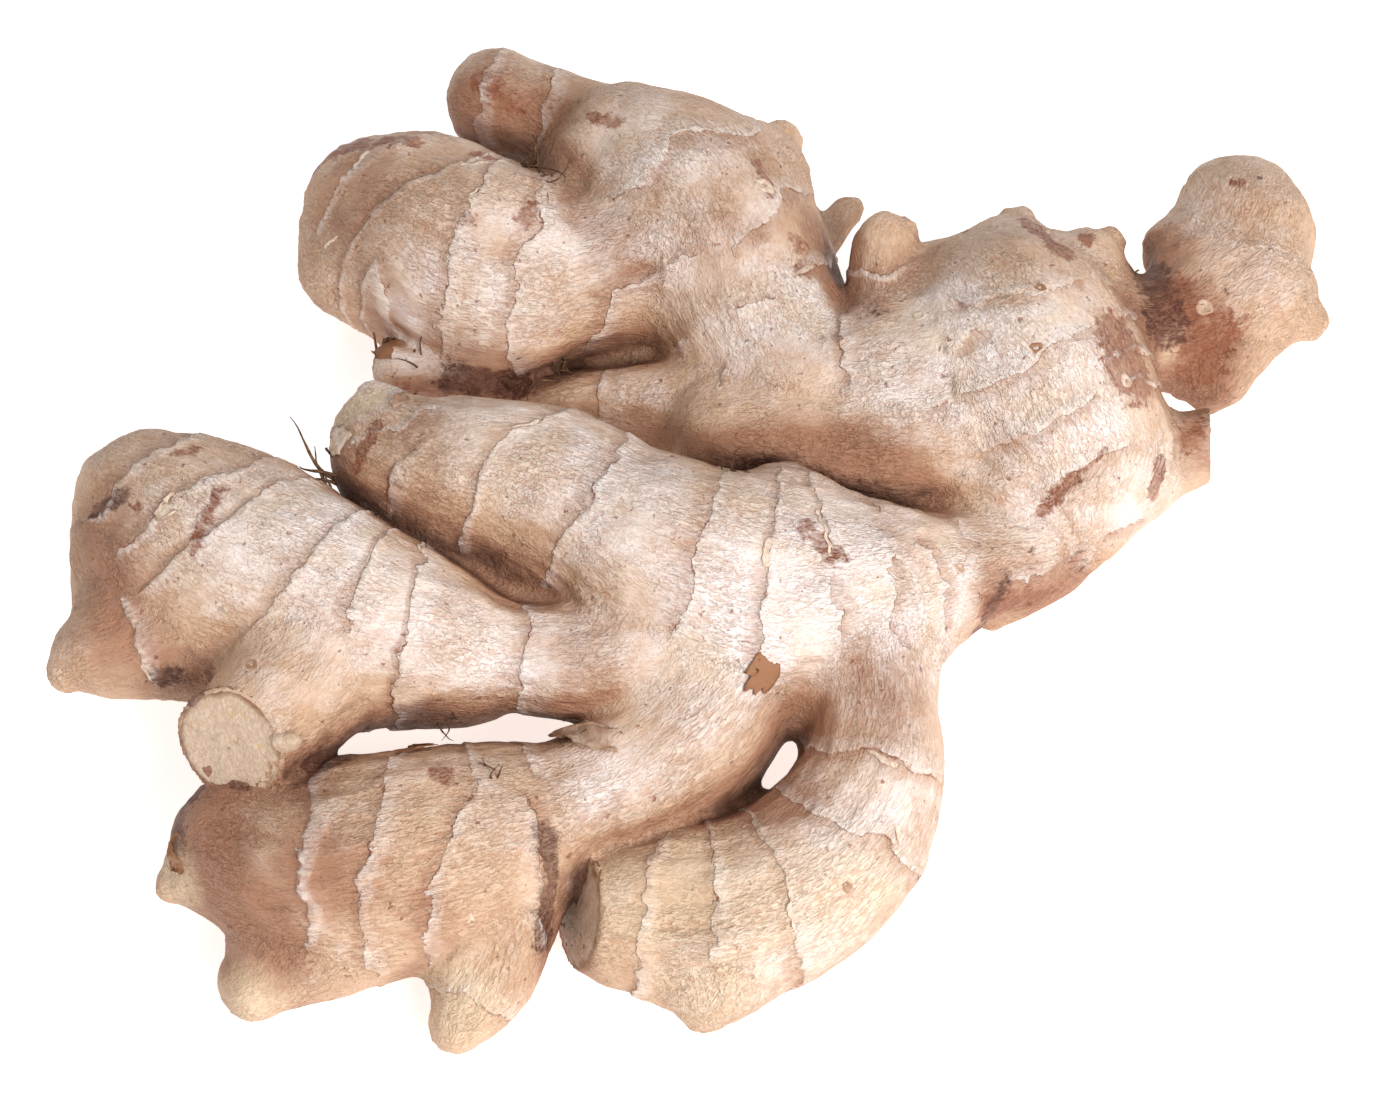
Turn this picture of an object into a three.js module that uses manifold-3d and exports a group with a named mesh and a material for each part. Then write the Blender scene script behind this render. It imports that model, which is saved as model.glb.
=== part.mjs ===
// A hand of fresh ginger: one rhizome that has forked into stubby fingers, lying on a table.
// Millimetres, +Z up. Each limb is a loft along its own centreline, ringed by leaf scars, and all the
// limbs are joined into one closed solid with its lowest swellings pressed flat on the table.

import * as THREE from 'three';
import { mergeVertices } from 'three/addons/utils/BufferGeometryUtils.js';
import Module from 'manifold-3d';

// Relief of the skin.
const CUFF_RISE = 0.5; // how far the old leaf base stands proud just before its scar
const CUFF_DROP = 0.45; // how far the next stretch sets off below it
const CUFF_RUN = 8; // length over which the skin climbs back before and after a lone scar
const SCAR_WIDTH = 0.5; // length of the step itself
const LUMP = 0.028; // low swellings of the limb, as a share of its radius
const DIMPLE = 0.016; // smaller three-sided swellings, as a share of its radius

// Fineness of the loft.
const STATION_GAP = 6.4; // spacing of the sections along a limb
const CAP_ANGLES = [32, 62]; // degrees at which a rounded end is sectioned
const SAMPLES_PER_SPAN = 24; // steps used to measure a centreline between two route points

// How the hand meets the table.
const PRESS = 0.5; // depth by which the lowest swellings are flattened
const TABLE_BLOCK = 400; // side of the block that takes the flattened part away

// Each limb: route holds x, y, z and radius at points along its centreline, scars hold the distance
// along the centreline with the scar's lean towards the limb's left side and towards its top.
// A limb with a cut ends in a flat face, which leans the same way.
const LIMBS = {
  // Upper left lobe, a fat rounded finger.
  upperLobe: {
    route: [[-6.5, 49, 18, 11.8], [-18.5, 47.5, 17, 12], [-29, 48.5, 16, 16.5], [-37.5, 53.5, 15, 15.8],
      [-44, 57.5, 14, 12.8]],
    scars: [[16, 0, -1], [25, 2, -1.5], [32, -11, -0.5], [43, -3, 0]],
  },
  lobeShoulder: { route: [[-42, 54, 14, 10.2], [-49.5, 52, 13, 7.5]] },
  lobeHeel: {
    route: [[-17, 33, 9, 3], [-24, 31.5, 10, 3.6], [-30.5, 32.5, 11, 3.8], [-36, 34, 13, 4.2],
      [-42, 34, 14, 3.9]],
  },
  // Back of the hand, from the thumb down to the waist.
  back: {
    route: [[-9, 64, 16.5, 13.4], [-1.5, 58, 17.5, 15.8], [4.5, 49.5, 17.5, 14.9],
      [8.5, 39, 17.5, 12.7], [14, 28, 17.5, 11]],
    scars: [[8, -4, 2], [21.5, 4.75, 3.5], [30, 4, 5]],
  },
  backKnob: { route: [[6.5, 61, 18.5, 9.2], [11.5, 69, 18.5, 3.4]] },
  backNub: { route: [[16, 54.5, 12.5, 3.6], [21.5, 62, 11.5, 2.2]] },
  thumb: {
    route: [[-4.5, 64, 16.5, 11.4], [-14, 71, 15.5, 8.8], [-22, 76, 14.5, 7.8], [-28.5, 79, 13.5, 8.2]],
    scars: [[8, 2.5, 0], [19.5, 2.5, 0], [29, 1, 0]],
  },
  // Waist and right-hand bulb.
  waist: {
    route: [[14, 27, 16.5, 10], [28, 26.5, 17.5, 13.8], [40.5, 27.5, 18.5, 15.2]],
    scars: [[6.3, 0, 1]],
  },
  waistSheath: {
    route: [[26.5, 26.5, 16.5, 10.2], [14, 28, 15.5, 10], [3, 27, 14.5, 7.8], [-8, 27.5, 13.5, 6.1],
      [-18, 29, 12.5, 4.5], [-22.5, 30, 11.5, 3.4]],
    scars: [[20, -3, 1], [40, 0, 0]],
  },
  bulb: {
    route: [[40, 36, 18, 13.9], [43.5, 31, 18, 18.6], [48, 24, 18, 16.8], [51, 18.5, 17, 13.3],
      [52, 12.5, 15, 9.6]],
    scars: [[2.5, -3, 3.5], [9, 0, 5], [16, 1, 5.5], [22, 3.5, 3]],
  },
  bulbHeel: {
    route: [[41.5, 11.5, 15.5, 10.3], [48, 7, 12.5, 7.8], [44.5, 2, 10.5, 5.2], [40, -2.5, 9.5, 3]],
  },
  bulbShoulder: { route: [[32, 40.5, 19, 9.7], [43, 42.5, 19, 8.6], [52.5, 45, 18, 7.3]] },
  shoulderKnob: { route: [[43.5, 46.5, 20, 7.1], [45, 53.3, 20, 3.3]] },
  cornerKnob: { route: [[53, 46, 18, 6.6], [58, 52.5, 18, 2.6]] },
  brokenStub: {
    route: [[58, 17, 14.5, 7.7], [64.5, 20, 13.5, 5.6], [71, 21.8, 13.5, 5]],
    cut: [-1.6, -0.4],
  },
  backShoot: {
    route: [[26.5, 33.5, 22, 5.4], [26, 39.5, 24, 5], [25.5, 45.5, 26, 4.6], [26, 48.5, 27, 2.8]],
    scars: [[4.8, 0, -2], [10.5, 0, -2]],
  },
  shootTip: { route: [[26.5, 46.5, 26.5, 2.6], [29, 48.2, 27, 1.6]] },
  // Far ball on its short neck.
  farNeck: { route: [[59.5, 40, 13.5, 7.3], [67.5, 42.5, 11.5, 8.8], [76, 48.5, 11.5, 10]] },
  farBall: { route: [[75, 47.5, 11, 9.3], [78, 57.8, 12, 10.2]] },
  farBud: { route: [[71.5, 53.5, 13, 6.5], [67, 55, 13, 3.8]] },
  farHeel: { route: [[76, 46, 10, 7.8], [72.8, 36.8, 9, 5.9]] },
  farPoint: { route: [[79, 48, 11, 7.4], [86.5, 45, 9, 2.8]] },
  // Long middle finger, the highest of the hand.
  longFinger: {
    route: [[44, 1.5, 17, 5.7], [37.5, -1, 18, 7.4], [30, -3.5, 19, 9.7], [20, -6.5, 20, 13.4],
      [9, -7, 21, 16.4], [-1, -4.5, 23, 15.7], [-10.5, 0.5, 24, 13.2], [-21, 6, 24, 12.9],
      [-32, 9, 24, 11.4], [-40, 13, 23, 9], [-43, 17, 22.5, 6.8]],
    scars: [[16, 1, -1], [21, -2, 1], [30.5, 2, 0], [37, 0, 2], [49, 1.5, -1.5], [63, 0, -2.5],
      [74, -8, 2], [88, 1, -2]],
  },
  longFingerBud: { route: [[-41.5, 18.5, 24, 4.1], [-43.5, 21.5, 26, 2.2]] },
  topSwelling: { route: [[13, 3, 24, 6.1], [11, 7, 25.5, 3.8]] },
  // Left-hand club with its cheek, its point and the stub where a finger was cut away.
  club: {
    route: [[-5, -15.5, 22, 9.3], [-17, -17, 22, 7.6], [-26, -16, 22, 8], [-35.5, -14.5, 22, 11.8],
      [-43.5, -12.5, 22, 13.8], [-53, -8.5, 22, 15.3], [-62, -3.5, 22, 15.4], [-69, 2.5, 22, 13.3],
      [-73.5, 6.3, 22, 10.8]],
    scars: [[18.5, 1, -1], [34.5, 2.5, -3], [39, 2, 0], [47.5, -4, -1], [60, -5, -1], [67, -4, -1.5],
      [76, -2, -1]],
  },
  clubCheek: { route: [[-72, -2.5, 20, 12.1], [-68, -11.5, 20, 9.4]] },
  clubPoint: {
    route: [[-66.5, -10, 22, 9.3], [-75.5, -13, 20, 7.6], [-80.5, -14, 19, 5.6], [-84, -16, 18, 3.2]],
    scars: [[8.5, 1, 0]],
  },
  cutStub: {
    route: [[-49, -14.5, 23, 11.2], [-53, -23, 24, 9.8], [-61, -32.5, 26.5, 8.1]],
    cut: [1.2, -2.8],
  },
  // Low front finger with its thumb, toe and bud.
  lowFinger: {
    route: [[5.5, -15.5, 19, 10.7], [0.5, -24.5, 18, 10.6], [-8.5, -32, 16, 9.8], [-18, -36.5, 15, 9.8],
      [-28.5, -40, 15, 12.8], [-39, -43.3, 15, 15.2], [-49.5, -43.5, 14, 13.7], [-59, -39.8, 13, 9.8],
      [-62, -39, 13, 6.6]],
    scars: [[38, 0, -2], [47, -8, -0.5], [57, -5, 0], [65.5, -1, 0]],
  },
  lowThumb: { route: [[-47, -48, 12, 11], [-53.2, -53, 9, 7.8], [-57.8, -57, 7, 5]] },
  lowToe: {
    route: [[-26, -41, 14, 9.5], [-27, -51.5, 11, 7.9], [-28.5, -58.5, 9, 6.5], [-31.5, -63, 7, 3.9]],
    scars: [[21, 0, 0]],
  },
  lowBud: { route: [[-63, -43, 12, 5.3], [-69, -44, 10, 2.6]] },
  // Hooked finger on the right of the front, cut off at its end.
  hook: {
    route: [[20.5, -12.5, 19, 11], [22.5, -22.5, 18, 9.4], [22.5, -31.5, 16, 10.1],
      [19, -39.5, 14, 11.1], [12, -45.5, 12, 11.7], [2.5, -49, 11, 11.8], [-7.5, -49, 11, 10.5],
      [-16, -48, 11.5, 7.6]],
    scars: [[16.5, -1, 3.5], [29.5, 3, -0.5], [41, -1, -2], [49, -1.5, -0.5], [57.5, -1, 0]],
    cut: [2, -2.2],
  },
  hookKnob: { route: [[2.5, -54.5, 10, 8.6], [1, -60, 8, 4.2]] },
  // Flesh and old leaf bases that fill the hollows between the fingers.
  palm: { route: [[2, 10, 9, 8], [14, 11, 9.5, 8.8], [25, 12, 10.5, 9.4], [35, 15, 13, 10]] },
  waistFlank: {
    route: [[6, 20.5, 16.5, 9.4], [15, 20, 17, 10], [25, 18.5, 18, 10.4], [33, 18, 18.5, 10.2]],
  },
  fingerWeb: { route: [[-13, -8.5, 18, 8.2], [-22, -7, 17.5, 7.6], [-29, -4.8, 17, 6.6]] },
  upperWeb: { route: [[-12.5, 36.5, 9, 3.9], [-1, 36, 11, 5.6], [11.5, 36.5, 12, 7]] },
  frontWeb: { route: [[19, -36.5, 14, 3.4], [12, -34.5, 12.5, 2.4], [5.5, -33.5, 12, 2.4]] },
  hookWeb: { route: [[8.5, -36.5, 11, 2.4], [0.5, -37, 10, 1.9]] },
  // Knuckles on the far ball and the club.
  farCrown: { route: [[74.5, 64.5, 13, 4.5], [81, 65.5, 12, 4.3]] },
  clubKnob: { route: [[-71.5, -7.5, 22, 6.6], [-77.5, -10, 23, 4.6]] },
};

const SKIN = new THREE.MeshStandardMaterial({ color: 0xd3b394, roughness: 0.62, metalness: 0 });

/** Number of sides of a limb's section, by its greatest radius. */
function sidesFor(radius) {
  if (radius > 10) return 15;
  return radius > 6 ? 11 : 8;
}

/** Measures a route: points along its centreline with their distance from the start and radius. */
function measureRoute(route) {
  const path = new THREE.CatmullRomCurve3(
    route.map(([x, y, z]) => new THREE.Vector3(x, y, z)), false, 'catmullrom', 0.5,
  );
  const girth = new THREE.SplineCurve(route.map((point) => new THREE.Vector2(point[3], 0)));
  const count = (route.length - 1) * SAMPLES_PER_SPAN;
  const samples = [];
  let distance = 0;
  for (let i = 0; i <= count; i += 1) {
    const point = path.getPoint(i / count);
    if (i > 0) distance += point.distanceTo(samples[i - 1].point);
    samples.push({ point, distance, radius: girth.getPoint(i / count).x });
  }
  return samples;
}

/** Centre and direction at a distance along the centreline, carried on straight past both ends. */
function placeAt(samples, distance) {
  const last = samples.length - 1;
  let i = 1;
  while (i < last && samples[i].distance < distance) i += 1;
  const before = samples[i - 1];
  const after = samples[i];
  const direction = after.point.clone().sub(before.point).normalize();
  const centre = before.point.clone().addScaledVector(direction, distance - before.distance);
  return { centre, direction };
}

/** Radius at a distance, as the outline of a ball rolled along the centreline. */
function radiusAt(samples, distance) {
  const heights = samples.map(({ distance: at, radius }) => radius ** 2 - (distance - at) ** 2);
  return Math.sqrt(Math.max(0, ...heights));
}

/** Height of the skin over the plain limb: it climbs to each scar and steps down past it. */
function cuffHeight(scars, distance) {
  const next = scars.findIndex(([at]) => at > distance);
  const before = next === -1 ? scars.length - 1 : next - 1;
  let height = 0;
  if (next !== -1) {
    const climb = Math.max(0, 1 - (scars[next][0] - distance) / CUFF_RUN);
    height += CUFF_RISE * climb ** 2;
  }
  if (before >= 0) {
    const settle = Math.max(0, 1 - (distance - scars[before][0]) / CUFF_RUN);
    height -= CUFF_DROP * settle;
  }
  return height;
}

/** Lean of the sections at a distance, passing smoothly from scar to scar and fading at the ends. */
function leanAt(marks, distance) {
  const next = marks.findIndex(([at]) => at > distance);
  if (next <= 0) return [0, 0];
  const [from, to] = [marks[next - 1], marks[next]];
  const share = (distance - from[0]) / (to[0] - from[0]);
  return [1, 2].map((axis) => from[axis] + (to[axis] - from[axis]) * share);
}

/** Distances at which a limb is sectioned, from its first pole to its last. */
function stationsOf(samples, scars, start, end, isCut) {
  const length = samples.at(-1).distance;
  const sines = CAP_ANGLES.map((angle) => Math.sin(THREE.MathUtils.degToRad(angle)));
  const stations = sines.map((sine) => start * sine).reverse();
  const steps = Math.max(1, Math.round(length / STATION_GAP));
  for (let i = 0; i <= steps; i += 1) {
    const distance = (length * i) / steps;
    if (scars.every(([at]) => Math.abs(at - distance) > STATION_GAP / 3)) stations.push(distance);
  }
  if (!isCut) stations.push(...sines.map((sine) => length + (end - length) * sine));
  const steepest = isCut ? length : Math.max(...stations);
  scars.filter(([at]) => at < steepest).forEach(([at]) => {
    stations.push(at - SCAR_WIDTH / 2, at + SCAR_WIDTH / 2);
  });
  if (isCut && !stations.includes(length)) stations.push(length);
  return stations.sort((a, b) => a - b);
}

/** Lofts one limb into a closed geometry. The seed sets where its swellings fall. */
function loftLimb({ route, scars = [], cut }, seed) {
  const samples = measureRoute(route);
  const length = samples.at(-1).distance;
  const start = Math.min(...samples.map(({ distance, radius }) => distance - radius));
  const end = cut ? length : Math.max(...samples.map(({ distance, radius }) => distance + radius));
  const sides = sidesFor(Math.max(...route.map((point) => point[3])));
  const marks = [[start, 0, 0], ...scars, [end, ...(cut ?? [0, 0])], [end + 1, ...(cut ?? [0, 0])]];
  const stations = stationsOf(samples, scars, start, end, Boolean(cut));
  const positions = [];

  const addVertex = (distance, angle, share) => {
    const [left, top] = leanAt(marks, distance);
    const shifted = distance + share * (left * Math.cos(angle) + top * Math.sin(angle));
    const { centre, direction } = placeAt(samples, shifted);
    const upward = new THREE.Vector3(0, 0, 1).addScaledVector(direction, -direction.z).normalize();
    const sideways = new THREE.Vector3().crossVectors(direction, upward);
    const lump = LUMP * Math.sin(2 * angle + 0.11 * distance + seed);
    const dimple = DIMPLE * Math.sin(3 * angle - 0.23 * distance + 2 * seed);
    const plain = radiusAt(samples, shifted) * (1 + lump + dimple);
    const radius = share * Math.max(0, plain + cuffHeight(scars, distance));
    centre.addScaledVector(sideways, radius * Math.cos(angle));
    centre.addScaledVector(upward, radius * Math.sin(angle));
    positions.push(centre.x, centre.y, centre.z);
    return positions.length / 3 - 1;
  };

  const rings = stations.map((distance) => (
    Array.from({ length: sides }, (_, side) => addVertex(distance, (side / sides) * 2 * Math.PI, 1))
  ));
  const firstPole = addVertex(start, 0, 0);
  const lastPole = addVertex(end, 0, 0);
  const indices = [];
  for (let side = 0; side < sides; side += 1) {
    const beside = (side + 1) % sides;
    indices.push(firstPole, rings[0][side], rings[0][beside]);
    for (let i = 0; i + 1 < rings.length; i += 1) {
      const [near, far] = [rings[i], rings[i + 1]];
      indices.push(near[side], far[side], far[beside], near[side], far[beside], near[beside]);
    }
    indices.push(lastPole, rings.at(-1)[beside], rings.at(-1)[side]);
  }
  const geometry = new THREE.BufferGeometry();
  geometry.setAttribute('position', new THREE.Float32BufferAttribute(positions, 3));
  geometry.setIndex(indices);
  return geometry;
}

const wasm = await Module();
wasm.setup();

/** Makes a manifold solid of a closed geometry. */
function toSolid(geometry) {
  geometry.deleteAttribute('normal');
  geometry.deleteAttribute('uv');
  const merged = mergeVertices(geometry, 1e-4);
  return new wasm.Manifold(new wasm.Mesh({
    numProp: 3,
    vertProperties: new Float32Array(merged.attributes.position.array),
    triVerts: new Uint32Array(merged.index.array),
  }));
}

/** Makes a geometry of a manifold solid. */
function toGeometry(solid) {
  const { vertProperties, triVerts } = solid.getMesh();
  const geometry = new THREE.BufferGeometry();
  geometry.setAttribute('position', new THREE.Float32BufferAttribute(vertProperties, 3));
  geometry.setIndex(new THREE.Uint32BufferAttribute(triVerts, 1));
  geometry.computeVertexNormals();
  return geometry;
}

/** The block under the table top, which flattens the lowest swellings. */
function makeTableBlock() {
  const block = new THREE.BoxGeometry(TABLE_BLOCK, TABLE_BLOCK, TABLE_BLOCK);
  block.translate(0, 0, PRESS - TABLE_BLOCK / 2);
  return toSolid(block);
}

/** Joins every limb, drops loose scraps and stands the hand on the origin, centred over it. */
function makeRhizome() {
  const limbs = Object.values(LIMBS).map((limb, index) => toSolid(loftLimb(limb, index + 1)));
  const whole = limbs.reduce((joined, limb) => joined.add(limb)).subtract(makeTableBlock());
  const [hand] = whole.decompose().sort((a, b) => b.volume() - a.volume());
  const geometry = toGeometry(hand);
  geometry.computeBoundingBox();
  const middle = geometry.boundingBox.getCenter(new THREE.Vector3());
  const rhizome = new THREE.Mesh(geometry, SKIN);
  rhizome.name = 'rhizome';
  rhizome.position.set(-middle.x, -middle.y, -geometry.boundingBox.min.z);
  return rhizome;
}

const ginger = new THREE.Group();
ginger.add(makeRhizome());

export default ginger;
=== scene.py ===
"""A hand of fresh ginger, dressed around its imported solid.

The limbs of the solid are grown again here as one finely meshed skin, with the steps of the leaf
scars, the furrows and the lumps in the mesh itself. Ragged leaf remains, loose scales, hair roots
and root scars are laid on that skin as pieces of their own.
"""

from __future__ import annotations

import logging
import math
from dataclasses import dataclass, field, fields
from enum import Enum

import bpy
import numpy as np
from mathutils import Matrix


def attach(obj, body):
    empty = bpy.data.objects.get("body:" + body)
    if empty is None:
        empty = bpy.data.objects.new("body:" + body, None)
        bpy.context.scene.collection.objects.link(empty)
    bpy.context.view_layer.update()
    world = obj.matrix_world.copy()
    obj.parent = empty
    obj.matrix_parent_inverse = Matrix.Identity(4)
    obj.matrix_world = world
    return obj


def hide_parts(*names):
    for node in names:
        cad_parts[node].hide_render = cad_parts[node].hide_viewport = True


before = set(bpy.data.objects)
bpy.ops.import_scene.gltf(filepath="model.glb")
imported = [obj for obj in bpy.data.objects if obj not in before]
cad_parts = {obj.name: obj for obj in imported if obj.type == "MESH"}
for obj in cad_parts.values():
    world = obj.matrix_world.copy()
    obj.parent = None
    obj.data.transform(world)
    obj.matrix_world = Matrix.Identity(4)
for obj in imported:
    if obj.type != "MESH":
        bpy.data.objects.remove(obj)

import openvdb
from bpy.types import Material, Mesh, Node, NodeSocket as Socket, NodeTree, Object
from mathutils import Vector
from mathutils.bvhtree import BVHTree

LOG = logging.getLogger("ginger")
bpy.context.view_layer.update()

Array = np.ndarray
Point = tuple[float, float, float]
Scar = tuple[float, float, float]
Colour = tuple[float, float, float, float]

NODE = "rhizome"
BODY = "root"
MM = 0.001  # metres in a millimetre
TO_FRAME = np.array([-1.04, -10.26, -0.5])  # from the limbs' own origin to the frame's, mm

# Fineness of the skin.
VOXEL = 0.42  # pitch of the grid that the skin is drawn from, mm
COARSE_PITCH = 2.4  # pitch of the grid that finds where the skin passes, mm
BAND = 1.5  # half thickness of the layer read finely on each side of the skin, mm
DEEPEST = 3.0  # depths in the grid stop at this on each side of the skin, mm
CHUNK = 400_000  # grid points read at a time
SKIN_TRIANGLES = 197000
SAMPLE_GAP = 0.8  # spacing of the samples along a centreline, mm

# How limbs run into each other.
KIN_BLEND = 3.2  # fillet between a limb and its own knobs, mm
CREASE_BLEND = 0.8  # fillet where two fingers only touch, mm
FORK_BLEND = 5.0  # extra fillet where one finger grows out of another, mm
FAR = 9.0  # depth given to points that a limb isn't read at, mm

# Relief of the skin, mm unless said otherwise. A pitch is in noise steps for each mm.
LUMP = 0.028  # share of the radius
LUMP_TWIST = 0.11  # turn of the lumps along a limb, radians for each mm
DIMPLE = 0.016  # share of the radius
DIMPLE_TWIST = -0.23
CUFF_RISE = 0.18
CUFF_DROP = 0.13
RISE_REACH = 4.5  # length over which the skin climbs to a scar
DROP_REACH = 2.4  # length over which it recovers past one
CUFF_TURN = 0.3  # half the length over which it turns from one to the other
CUFF_MARKS = (-0.2, 0.6)  # marks at which a cuff starts and is whole
CUFF_MEAN, CUFF_SPREAD, CUFF_PITCH = 0.75, 1.4, 0.11  # how its strength changes round a scar
CUFF_LIMITS = (0.08, 1.8)
BOLD_CUFF = 1.6  # extra strength for each unit of mark over 1
LONE_GAP = 15.0  # length over which a lone scar is felt
WANDER = 1.5  # how far a scar strays from its even ring
DENT, DENT_PITCH = 0.6, 0.075
FURROW, FURROW_PITCH = 0.28, np.array([0.10, 0.42, 0.42])
PUCKER, PUCKER_PITCH = 0.17, np.array([0.25, 1.1, 1.1])
PUCKER_SHARE = 0.4  # share of the pucker that is left away from scars
PLEAT_REACH = 2.0  # length over which a scar gathers the skin
PITH, PITH_PITCH = 0.10, 0.9  # roughness of a cut face
CREVICE_REACH = 1.8  # gap between two fingers over which their crease fades
CREVICE_CALM = 0.5  # share of the relief that a crease smooths away
FORK_OPEN = 0.8  # share of a crease that a fork opens
CUT_RIM = (-0.35, -0.1)  # depths under a cut face between which skin turns to flesh
FOOT = 0.8  # height over the table at which the relief is whole

# Seams, mm unless said otherwise.
SEAM_REACH = 4.5  # how far from a seam the skin still belongs to it
SEAM_WANDER, SEAM_PITCH = 0.9, 0.35
SEAM_TAPER = 6.0  # how fast a seam gains strength from each end, for its whole length
SEAM_END = 0.35  # share of its strength at its very ends
SEAM_MARK = -0.999  # skin with a mark over this belongs to the seam
FACING = np.array([0, -0.5, 0.87])  # the way the shown side of the skin looks


class Kin(Enum):
    """Family of a limb: limbs of one family run smoothly into each other."""

    BACK = "back"
    LOBE = "lobe"
    THUMB = "thumb"
    WAIST = "waist"
    SHEATH = "sheath"
    SHOOT = "shoot"
    FAR_END = "far end"
    LONG = "long finger"
    CLUB = "club"
    LOW = "low finger"
    HOOK = "hook"
    WEB = "web"


@dataclass(frozen=True)
class Limb:
    """One limb of the hand: a route of x, y, z and radius in mm, with its leaf scars.

    A scar is a distance along the route with its lean to the left and to the top. A cut is the
    lean of a flat end face.
    """

    name: str
    kin: Kin
    route: tuple[tuple[float, float, float, float], ...]
    scars: tuple[Scar, ...] = ()
    cut: tuple[float, float] | None = None


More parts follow.
